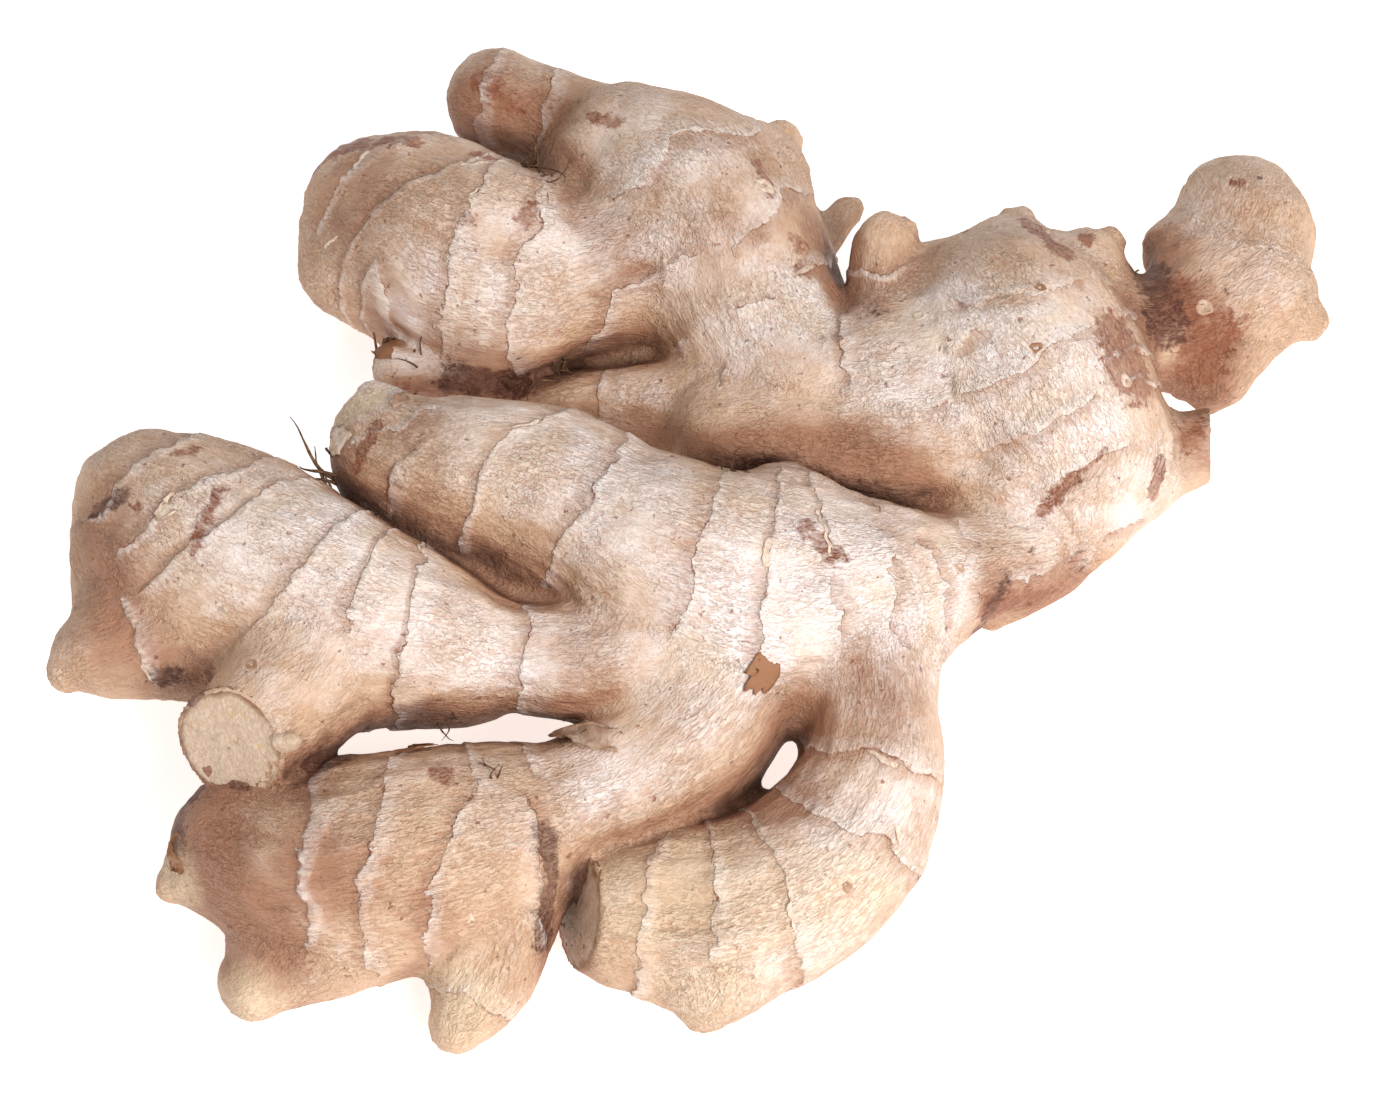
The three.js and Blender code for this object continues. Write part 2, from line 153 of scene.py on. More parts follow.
LIMBS: tuple[Limb, ...] = (
    Limb("upper_lobe", Kin.LOBE,
         ((-6.5, 49, 18, 11.8), (-18.5, 47.5, 17, 12), (-29, 48.5, 16, 16.5),
          (-37.5, 53.5, 15, 15.8), (-44, 57.5, 14, 12.8)),
         ((16, 0, -1), (25, 2, -1.5), (32, -11, -0.5), (43, -3, 0))),
    Limb("lobe_shoulder", Kin.LOBE, ((-42, 54, 14, 10.2), (-49.5, 52, 13, 7.5))),
    Limb("lobe_heel", Kin.WEB,
         ((-17, 33, 9, 3), (-24, 31.5, 10, 3.6), (-30.5, 32.5, 11, 3.8), (-36, 34, 13, 4.2),
          (-42, 34, 14, 3.9))),
    Limb("back", Kin.BACK,
         ((-9, 64, 16.5, 13.4), (-1.5, 58, 17.5, 15.8), (4.5, 49.5, 17.5, 14.9),
          (8.5, 39, 17.5, 12.7), (14, 28, 17.5, 11)),
         ((8, -4, 2), (21.5, 4.75, 3.5), (30, 4, 5))),
    Limb("back_knob", Kin.BACK, ((6.5, 61, 18.5, 9.2), (11.5, 69, 18.5, 3.4))),
    Limb("back_nub", Kin.BACK, ((16, 54.5, 12.5, 3.6), (21.5, 62, 11.5, 2.2))),
    Limb("thumb", Kin.THUMB,
         ((-4.5, 64, 16.5, 11.4), (-14, 71, 15.5, 8.8), (-22, 76, 14.5, 7.8),
          (-28.5, 79, 13.5, 8.2)),
         ((8, 2.5, 0), (19.5, 2.5, 0), (29, 1, 0))),
    Limb("waist", Kin.WAIST,
         ((14, 27, 16.5, 10), (28, 26.5, 17.5, 13.8), (40.5, 27.5, 18.5, 15.2)),
         ((6.3, 0, 1),)),
    Limb("waist_sheath", Kin.SHEATH,
         ((26.5, 26.5, 16.5, 10.2), (14, 28, 15.5, 10), (3, 27, 14.5, 7.8), (-8, 27.5, 13.5, 6.1),
          (-18, 29, 12.5, 4.5), (-22.5, 30, 11.5, 3.4)),
         ((20, -3, 1), (40, 0, 0))),
    Limb("bulb", Kin.WAIST,
         ((40, 36, 18, 13.9), (43.5, 31, 18, 18.6), (48, 24, 18, 16.8), (51, 18.5, 17, 13.3),
          (52, 12.5, 15, 9.6)),
         ((2.5, -3, 3.5), (9, 0, 5), (16, 1, 5.5), (22, 3.5, 3))),
    Limb("bulb_heel", Kin.WAIST,
         ((41.5, 11.5, 15.5, 10.3), (48, 7, 12.5, 7.8), (44.5, 2, 10.5, 5.2), (40, -2.5, 9.5, 3))),
    Limb("bulb_shoulder", Kin.WAIST,
         ((32, 40.5, 19, 9.7), (43, 42.5, 19, 8.6), (52.5, 45, 18, 7.3))),
    Limb("shoulder_knob", Kin.WAIST, ((43.5, 46.5, 20, 7.1), (45, 53.3, 20, 3.3))),
    Limb("corner_knob", Kin.WAIST, ((53, 46, 18, 6.6), (58, 52.5, 18, 2.6))),
    Limb("broken_stub", Kin.WAIST,
         ((58, 17, 14.5, 7.7), (64.5, 20, 13.5, 5.6), (71, 21.8, 13.5, 5)),
         cut=(-1.6, -0.4)),
    Limb("back_shoot", Kin.SHOOT,
         ((26.5, 33.5, 22, 5.4), (26, 39.5, 24, 5), (25.5, 45.5, 26, 4.6), (26, 48.5, 27, 2.8)),
         ((4.8, 0, -2), (10.5, 0, -2))),
    Limb("shoot_tip", Kin.SHOOT, ((26.5, 46.5, 26.5, 2.6), (29, 48.2, 27, 1.6))),
    Limb("far_neck", Kin.FAR_END,
         ((59.5, 40, 13.5, 7.3), (67.5, 42.5, 11.5, 8.8), (76, 48.5, 11.5, 10))),
    Limb("far_ball", Kin.FAR_END, ((75, 47.5, 11, 9.3), (78, 57.8, 12, 10.2))),
    Limb("far_bud", Kin.FAR_END, ((71.5, 53.5, 13, 6.5), (67, 55, 13, 3.8))),
    Limb("far_heel", Kin.FAR_END, ((76, 46, 10, 7.8), (72.8, 36.8, 9, 5.9))),
    Limb("far_point", Kin.FAR_END, ((79, 48, 11, 7.4), (86.5, 45, 9, 2.8))),
    Limb("long_finger", Kin.LONG,
         ((44, 1.5, 17, 5.7), (37.5, -1, 18, 7.4), (30, -3.5, 19, 9.7), (20, -6.5, 20, 13.4),
          (9, -7, 21, 16.4), (-1, -4.5, 23, 15.7), (-10.5, 0.5, 24, 13.2), (-21, 6, 24, 12.9),
          (-32, 9, 24, 11.4), (-40, 13, 23, 9), (-43, 17, 22.5, 6.8)),
         ((16, 1, -1), (21, -2, 1), (30.5, 2, 0), (37, 0, 2), (49, 1.5, -1.5), (63, 0, -2.5),
          (74, -8, 2), (88, 1, -2))),
    Limb("long_finger_bud", Kin.LONG, ((-41.5, 18.5, 24, 4.1), (-43.5, 21.5, 26, 2.2))),
    Limb("top_swelling", Kin.LONG, ((13, 3, 24, 6.1), (11, 7, 25.5, 3.8))),
    Limb("club", Kin.CLUB,
         ((-5, -15.5, 22, 9.3), (-17, -17, 22, 7.6), (-26, -16, 22, 8), (-35.5, -14.5, 22, 11.8),
          (-43.5, -12.5, 22, 13.8), (-53, -8.5, 22, 15.3), (-62, -3.5, 22, 15.4),
          (-69, 2.5, 22, 13.3), (-73.5, 6.3, 22, 10.8)),
         ((18.5, 1, -1), (34.5, 2.5, -3), (39, 2, 0), (47.5, -4, -1), (60, -5, -1), (67, -4, -1.5),
          (76, -2, -1))),
    Limb("club_cheek", Kin.CLUB, ((-72, -2.5, 20, 12.1), (-68, -11.5, 20, 9.4))),
    Limb("club_point", Kin.CLUB,
         ((-66.5, -10, 22, 9.3), (-75.5, -13, 20, 7.6), (-80.5, -14, 19, 5.6), (-84, -16, 18, 3.2)),
         ((8.5, 1, 0),)),
    Limb("cut_stub", Kin.CLUB,
         ((-49, -14.5, 23, 11.2), (-53, -23, 24, 9.8), (-61, -32.5, 26.5, 8.1)),
         cut=(1.2, -2.8)),
    Limb("low_finger", Kin.LOW,
         ((5.5, -15.5, 19, 10.7), (0.5, -24.5, 18, 10.6), (-8.5, -32, 16, 9.8),
          (-18, -36.5, 15, 9.8), (-28.5, -40, 15, 12.8), (-39, -43.3, 15, 15.2),
          (-49.5, -43.5, 14, 13.7), (-59, -39.8, 13, 9.8), (-62, -39, 13, 6.6)),
         ((38, 0, -2), (47, -8, -0.5), (57, -5, 0), (65.5, -1, 0))),
    Limb("low_thumb", Kin.LOW, ((-47, -48, 12, 11), (-53.2, -53, 9, 7.8), (-57.8, -57, 7, 5))),
    Limb("low_toe", Kin.LOW,
         ((-26, -41, 14, 9.5), (-27, -51.5, 11, 7.9), (-28.5, -58.5, 9, 6.5), (-31.5, -63, 7, 3.9)),
         ((21, 0, 0),)),
    Limb("low_bud", Kin.LOW, ((-63, -43, 12, 5.3), (-69, -44, 10, 2.6))),
    Limb("hook", Kin.HOOK,
         ((20.5, -12.5, 19, 11), (22.5, -22.5, 18, 9.4), (22.5, -31.5, 16, 10.1),
          (19, -39.5, 14, 11.1), (12, -45.5, 12, 11.7), (2.5, -49, 11, 11.8), (-7.5, -49, 11, 10.5),
          (-16, -48, 11.5, 7.6)),
         ((16.5, -1, 3.5), (29.5, 3, -0.5), (41, -1, -2), (49, -1.5, -0.5), (57.5, -1, 0)),
         cut=(2, -2.2)),
    Limb("hook_knob", Kin.HOOK, ((2.5, -54.5, 10, 8.6), (1, -60, 8, 4.2))),
    Limb("palm", Kin.WEB,
         ((2, 10, 9, 8), (14, 11, 9.5, 8.8), (25, 12, 10.5, 9.4), (35, 15, 13, 10))),
    Limb("waist_flank", Kin.WAIST,
         ((6, 20.5, 16.5, 9.4), (15, 20, 17, 10), (25, 18.5, 18, 10.4), (33, 18, 18.5, 10.2))),
    Limb("finger_web", Kin.LONG,
         ((-13, -8.5, 18, 8.2), (-22, -7, 17.5, 7.6), (-29, -4.8, 17, 6.6))),
    Limb("upper_web", Kin.WEB, ((-12.5, 36.5, 9, 3.9), (-1, 36, 11, 5.6), (11.5, 36.5, 12, 7))),
    Limb("front_web", Kin.HOOK,
         ((19, -36.5, 14, 3.4), (12, -34.5, 12.5, 2.4), (5.5, -33.5, 12, 2.4))),
    Limb("hook_web", Kin.HOOK, ((8.5, -36.5, 11, 2.4), (0.5, -37, 10, 1.9))),
    Limb("far_crown", Kin.FAR_END, ((74.5, 64.5, 13, 4.5), (81, 65.5, 12, 4.3))),
    Limb("club_knob", Kin.CLUB, ((-71.5, -7.5, 22, 6.6), (-77.5, -10, 23, 4.6))),
)


@dataclass(frozen=True)
class Seam:
    """The torn edge of an old leaf base, or a crack: its course over the skin, in mm."""

    course: tuple[Point, ...]
    strength: float = 1.0

    def near(self, points: Array) -> Array:
        """Returns the numbers of the points that lie in the seam's box."""
        course = np.array(self.course)
        low, high = course.min(0) - SEAM_REACH, course.max(0) + SEAM_REACH
        return np.flatnonzero(np.all((points > low) & (points < high), axis=1))

    def read(self, points: Array) -> tuple[Array, Array]:
        """Reads the seam at points.

        Args:
            points: places in mm, n by 3.

        Returns:
            A signed distance, negative on the left of the course, and a mark that falls from
            the seam's strength to -1 at its reach.
        """
        course = np.array(self.course)
        closest = np.full(len(points), FAR)
        side = np.ones(len(points))
        fade = np.zeros(len(points))
        for i, (start, end) in enumerate(zip(course[:-1], course[1:])):
            along = end - start
            share = np.clip((points - start) @ along / (along @ along), 0, 1)
            offset = points - start - share[:, None] * along
            gap = np.linalg.norm(offset, axis=1)
            closer = gap < closest
            closest = np.where(closer, gap, closest)
            turn = np.cross(along, offset) @ FACING
            side = np.where(closer, np.where(turn > 0, -1.0, 1.0), side)
            fade = np.where(closer, (i + share) / (len(course) - 1), fade)
        ends = np.clip(SEAM_TAPER * np.minimum(fade, 1 - fade) + SEAM_END, 0, 1)
        mark = np.cos(np.pi * np.clip(closest / SEAM_REACH, 0, 1))
        return side * closest, (mark + 1) * self.strength * ends - 1


SEAMS: tuple[Seam, ...] = (
    Seam(((33, 31.5, 33.5), (40.5, 31, 36.5), (47, 32, 36.5), (53.5, 36, 33))),
    Seam(((24, 14.5, 24), (28.5, 17, 27.5), (32, 18, 30), (40, 19, 34), (45, 20.5, 35.5),
          (47.5, 23, 36.5), (55, 29, 33.5)), 1.15),
    Seam(((33.5, 11.5, 23.5), (39, 12, 27), (43.5, 12.5, 30), (48, 14, 32), (54.5, 18.5, 32.5)),
         1.1),
    Seam(((42.5, 1.5, 24), (46.5, 6.5, 24), (50, 8.5, 26), (53.5, 10.5, 27.5), (59.5, 14.5, 26.5)),
         1.15),
    Seam(((41, -5.5, 22.5), (46, -3.5, 19.5), (51, 1.5, 17.5), (56.5, 5, 18), (62, 9, 15.5)), 1.1),
    Seam(((27.5, 3.5, 27), (32.5, 4, 25.5), (35, 1.5, 26.5), (36.5, -0.5, 26.5), (39, -2, 25.5))),
    Seam(((19.5, 36, 26.5), (19.5, 29, 29), (20, 23.5, 28.5), (19.5, 20, 26.5)), 1.3),
    Seam(((1, 43, 30.5), (-5, 41.5, 27.5), (-11.5, 39, 25), (-13.5, 36.5, 21), (-17, 35, 15)), 1.2),
    Seam(((11.5, 37, 29), (5, 33.5, 28.5), (-1, 32, 24), (-5, 33, 18))),
    Seam(((28.5, -18, 26.5), (25.5, -17, 29), (25.5, -14, 30), (26.5, -11, 30.5), (25, -9, 32),
          (25.5, -5.5, 32.5), (23.5, -2.5, 32.5)), 1.3),
    Seam(((4, 31, 25), (3.5, 28, 24.5), (3.5, 25, 23.5), (3.5, 22, 22), (3.5, 19.5, 18.5)), 1.3),
    Seam(((-47, 11, 28), (-44, 12, 31), (-40.5, 12, 32.5), (-37.5, 13.5, 33), (-35, 17, 31)), 1.0),
    Seam(((34, -12.5, 22), (33, -11, 25), (32.5, -7, 28), (31, -4.5, 29.5), (28.5, -4, 31)), 1.1),
    Seam(((19, -20.5, 29), (19.5, -17, 31), (19, -15, 32.5), (18, -13.5, 33.5), (17.5, -11, 34.5)),
         1.2),
    Seam(((-20, -54.5, 13.5), (-20, -49.5, 20), (-20.5, -45.5, 24), (-21.5, -42, 26),
          (-23.5, -39.5, 26.5)), 1.9),
)

# Forks, where one finger grows out of another: x, y, z and reach, mm.
FORKS: tuple[tuple[float, float, float, float], ...] = (
    (3, -17, 20, 12), (20, -12, 20, 12), (-8, -15, 22, 9), (38, 2, 16, 8), (-4, 52, 17, 13),
    (-6, 65, 16, 9), (12, 28, 16, 11), (30, 27, 17, 12), (59, 40, 14, 8), (26, 34, 21, 6),
)


def unit(vectors: Array) -> Array:
    """Returns the vectors at length one."""
    return vectors / np.maximum(np.linalg.norm(vectors, axis=-1, keepdims=True), 1e-9)


def smooth_step(values: Array, low: float, high: float) -> Array:
    """Returns a smooth rise from 0 at low to 1 at high."""
    share = np.clip((values - low) / (high - low), 0.0, 1.0)
    return share * share * (3.0 - 2.0 * share)


class Grain:
    """Seeded lattice noise, read at points in space."""

    SIDE = 32
    SHIFT = 7.3  # lattice steps between one layer and the next

    def __init__(self, seed: int) -> None:
        """Draws the lattice. Args: seed: the draw's seed."""
        self.lattice = np.random.default_rng(seed).uniform(-1.0, 1.0, (self.SIDE,) * 3)

    def read(self, points: Array) -> Array:
        """Reads the noise.

        Args:
            points: places in lattice steps, n by 3.

        Returns:
            A value from -1 to 1 for each place.
        """
        base = np.floor(points).astype(int)
        share = points - base
        share = share * share * (3.0 - 2.0 * share)
        total = np.zeros(len(points))
        for corner in range(8):
            offset = np.array([corner & 1, (corner >> 1) & 1, (corner >> 2) & 1])
            weight = np.prod(np.where(offset == 1, share, 1.0 - share), axis=1)
            x, y, z = ((base + offset) % self.SIDE).T
            total += weight * self.lattice[x, y, z]
        return total

    def layered(self, points: Array, layers: int = 3, fade: float = 0.5) -> Array:
        """Returns several layers of the noise, each twice as fine and weaker by the fade."""
        return sum(fade**i * self.read(points * 2**i + self.SHIFT * i) for i in range(layers))


@dataclass
class Reading:
    """What a limb says about points near it, all in mm."""

    depth: Array  # distance outside the limb's skin
    at: Array  # distance along the centreline
    left: Array  # offset to the limb's left side
    top: Array  # offset to the limb's top
    girth: Array  # plain radius there

    def picked(self, which: Array) -> Reading:
        """Returns the reading at some of the points."""
        return Reading(*(getattr(self, item.name)[which] for item in fields(self)))

    def put(self, where: Array, part: Reading) -> None:
        """Takes over another reading at some of the points."""
        for item in fields(self):
            getattr(self, item.name)[where] = getattr(part, item.name)


class Centreline:
    """A limb's centreline, sampled finely, with its own left and upward directions."""

    STRAYING = Grain(61)
    STRAY_ROUND = 1.7  # noise steps from a limb's middle to its side
    STRAY_ALONG = 9.0  # length of one noise step along a limb, mm
    STRAY_LIMITS = (0.3, 1.1)  # least and most that scars stray on thin and thick limbs
    STOUT = 13.0  # radius of a limb whose scars stray by WANDER, mm
    MATRIX = 4_000_000  # distances worked out at a time

    def __init__(self, limb: Limb, seed: int) -> None:
        """Samples the route. Args: limb: the limb; seed: sets where its swellings fall."""
        self.limb = limb
        self.seed = seed
        route = np.array(limb.route, float)
        spans = np.linalg.norm(np.diff(route[:, :3], axis=0), axis=1)
        steps = max(4, int(math.ceil(spans.max() / SAMPLE_GAP)))
        reflected = np.vstack([2 * route[0] - route[1], route, 2 * route[-1] - route[-2]])
        reflected[0, 3], reflected[-1, 3] = route[0, 3], route[-1, 3]
        rows = []
        for i in range(len(route) - 1):
            before, start, end, after = reflected[i:i + 4]
            for t in np.linspace(0, 1, steps, endpoint=False):
                leave, arrive = (end - before) / 2, (after - start) / 2
                cubic = 2 * start - 2 * end + leave + arrive
                square = 3 * end - 3 * start - 2 * leave - arrive
                rows.append(cubic * t**3 + square * t**2 + leave * t + start)
        rows.append(route[-1])
        samples = np.array(rows)
        self.points, self.radius = samples[:, :3], samples[:, 3]
        gaps = np.linalg.norm(np.diff(self.points, axis=0), axis=1)
        self.at = np.concatenate([[0.0], np.cumsum(gaps)])
        self.length = float(self.at[-1])
        self.along = unit(np.gradient(self.points, axis=0))
        self.up = unit(np.array([0, 0, 1.0]) - self.along * self.along[:, 2:3])
        self.left = np.cross(self.along, self.up)
        self.low = (self.points - self.radius[:, None]).min(0)
        self.high = (self.points + self.radius[:, None]).max(0)
        self.start = float((self.at - self.radius).min())
        self.end = self.length if limb.cut else float((self.at + self.radius).max())

    def near(self, points: Array, margin: float) -> Array:
        """Returns which points lie in the limb's box, grown by the margin."""
        return np.all((points > self.low - margin) & (points < self.high + margin), axis=1)

    def read(self, points: Array) -> Reading:
        """Reads the limb at points.

        Args:
            points: places in mm, n by 3.

        Returns:
            The limb's reading there.
        """
        count = len(points)
        nearest = np.empty(count, int)
        chunk = max(1, self.MATRIX // len(self.at))
        squares = (self.points**2).sum(1)
        for first in range(0, count, chunk):
            part = points[first:first + chunk]
            gap = (part**2).sum(1)[:, None] + squares - 2 * part @ self.points.T
            nearest[first:first + chunk] = (np.sqrt(np.maximum(gap, 0)) - self.radius).argmin(1)
        offset = points - self.points[nearest]
        ahead = (offset * self.along[nearest]).sum(1)
        left = (offset * self.left[nearest]).sum(1)
        top = (offset * self.up[nearest]).sum(1)
        at = self.at[nearest] + ahead
        girth = self.radius[nearest]
        angle = np.arctan2(top, left)
        lump = LUMP * np.sin(2 * angle + LUMP_TWIST * at + self.seed)
        dimple = DIMPLE * np.sin(3 * angle + DIMPLE_TWIST * at + 2 * self.seed)
        depth = np.linalg.norm(offset, axis=1) - girth * (1 + lump + dimple)
        if self.limb.cut:
            depth = np.maximum(depth, self.past_cut(points))
        return Reading(depth, at, left, top, girth)

    def cut_normal(self) -> Array:
        """Returns the way that the limb's flat end face looks."""
        lean_left, lean_top = self.limb.cut
        return unit(self.along[-1] - lean_left / self.radius[-1] * self.left[-1]
                    - lean_top / self.radius[-1] * self.up[-1])

    def past_cut(self, points: Array) -> Array:
        """Returns how far points lie past the limb's flat end face."""
        return (points - self.points[-1]) @ self.cut_normal()

    def stray(self, angle: Array, at: Array, girth: Array | float) -> Array:
        """Works out how far scars stray from an even ring.

        Args:
            angle: angles round the limb.
            at: distances along it.
            girth: its radius there, in mm.

        Returns:
            The offset along the limb, in mm.
        """
        spot = np.stack([self.STRAY_ROUND * np.cos(angle), self.STRAY_ROUND * np.sin(angle),
                         at / self.STRAY_ALONG + 5.3 * self.seed], 1)
        waves = self.STRAYING.layered(spot, 4, fade=0.62)
        return WANDER * np.clip(girth / self.STOUT, *self.STRAY_LIMITS) * waves

    def scar_phase(self, reading: Reading) -> tuple[Array, Array]:
        """Works out where points lie between leaf scars.

        Args:
            reading: the limb's reading at the points.

        Returns:
            A signed distance that is 0 at a scar and negative before it, and a mark that is 1
            at a scar and -1 halfway between two.
        """
        scars = np.array(self.limb.scars, float).reshape(-1, 3)
        if not len(scars):
            still = np.zeros(len(reading.at))
            return still, still - 1.0
        marks = np.vstack([[self.start, 0, 0], scars, [self.end + 0.5, 0, 0]])
        scale = np.maximum(np.hypot(reading.left, reading.top), 1e-6)
        lean = (np.interp(reading.at, marks[:, 0], marks[:, 1]) * reading.left
                + np.interp(reading.at, marks[:, 0], marks[:, 2]) * reading.top) / scale
        straight = reading.at - lean
        angle = np.arctan2(reading.top, reading.left)
        place = straight - self.stray(angle, straight, reading.girth)
        edges = np.concatenate([[scars[0, 0] - LONE_GAP], scars[:, 0], [scars[-1, 0] + LONE_GAP]])
        index = np.clip(np.searchsorted(edges, place, side="right") - 1, 0, len(edges) - 2)
        gap = edges[index + 1] - edges[index]
        share = np.clip((place - edges[index]) / gap, 0, 1)
        share = np.where(index == 0, np.maximum(share, 0.5), share)
        share = np.where(index == len(edges) - 2, np.minimum(share, 0.5), share)
        signed = gap / (2 * math.pi) * np.sin(2 * math.pi * share)
        return signed, np.cos(2 * math.pi * share)

    def point_on(self, at: float, angle: float) -> Array:
        """Returns the point at a distance along the limb and an angle round it."""
        i = int(np.clip(np.searchsorted(self.at, at), 0, len(self.at) - 1))
        centre = self.points[i] + self.along[i] * (at - self.at[i])
        way = math.cos(angle) * self.left[i] + math.sin(angle) * self.up[i]
        return centre + self.radius[i] * way


def blended(first: Array, second: Array, reach: Array | float) -> Array:
    """Joins two depths, with a fillet of the given reach where they meet."""
    overlap = np.maximum(reach - np.abs(first - second), 0.0)
    return np.minimum(first, second) - overlap**2 / (4.0 * reach)


class Hand:
    """Every limb of the hand, read together."""

    PROBES = ((1.5, 0.2), (4.0, 0.35), (9.0, 0.45))  # distances felt out from the skin, weights

    def __init__(self) -> None:
        """Samples all the limbs."""
        self.lines = [Centreline(limb, index + 1) for index, limb in enumerate(LIMBS)]
        LOG.info("limbs: %s", ", ".join(limb.name for limb in LIMBS))

    def fork_share(self, points: Array) -> Array:
        """Returns how near points are to a place where one finger grows out of another."""
        share = np.zeros(len(points))
        for x, y, z, reach in FORKS:
            gap = ((points - np.array([x, y, z])) ** 2).sum(1)
            share = np.maximum(share, np.exp(-gap / (2 * reach**2)))
        return share

    def depth(self, points: Array) -> tuple[Array, Array]:
        """Reads the whole hand.

        Args:
            points: places in mm, n by 3.

        Returns:
            The distance outside the skin, and how far the second family of limbs is.
        """
        groups: dict[Kin, Array] = {}
        for line in self.lines:
            group = groups.setdefault(line.limb.kin, np.full(len(points), FAR))
            near = line.near(points, KIN_BLEND + BAND)
            if near.any():
                group[near] = blended(group[near], line.read(points[near]).depth, KIN_BLEND)
        stack = np.sort(np.array(list(groups.values())), axis=0)
        reach = CREASE_BLEND + FORK_BLEND * self.fork_share(points)
        whole = np.full(len(points), FAR)
        for group in groups.values():
            whole = blended(whole, group, reach)
        return np.maximum(whole, -points[:, 2] - TO_FRAME[2]), stack[1]

    def openness(self, points: Array, normals: Array) -> Array:
        """Works out how open the skin lies.

        Args:
            points: places on the skin in mm, n by 3.
            normals: the skin's normals there.

        Returns:
            1 where nothing stands near, falling to 0 in a deep crease.
        """
        share = np.zeros(len(points))
        for reach, weight in self.PROBES:
            probes = points + normals * reach
            gap = np.full(len(points), reach)
            for line in self.lines:
                near = line.near(probes, reach)
                gap[near] = np.minimum(gap[near], line.read(probes[near]).depth)
            share += weight * np.clip(gap / reach, 0, 1)
        return share

    def nearest(self, points: Array) -> tuple[Array, Reading]:
        """Finds the limb that each point lies on.

        Args:
            points: places in mm, n by 3.

        Returns:
            The number of the limb, and that limb's reading at the point.
        """
        owner = np.zeros(len(points), int)
        whole = Reading(*(np.zeros(len(points)) for _ in fields(Reading)))
        whole.depth += np.inf
        for number, line in enumerate(self.lines):
            near = np.flatnonzero(line.near(points, KIN_BLEND + BAND + 1.0))
            if not len(near):
                continue
            reading = line.read(points[near])
            closer = reading.depth < whole.depth[near]
            owner[near[closer]] = number
            whole.put(near[closer], reading.picked(closer))
        return owner, whole


@dataclass
class SkinMap:
    """What the skin's vertices know: their place on a limb and their marks."""

    owner: Array
    reading: Reading
    signed: Array  # distance from the nearest scar, mm
    mark: Array  # 1 at a scar, -1 halfway between scars
    crevice: Array  # 1 deep in a crease between fingers
    flesh: Array  # 1 on a cut face
    open: Array | None = None  # 1 where nothing stands near


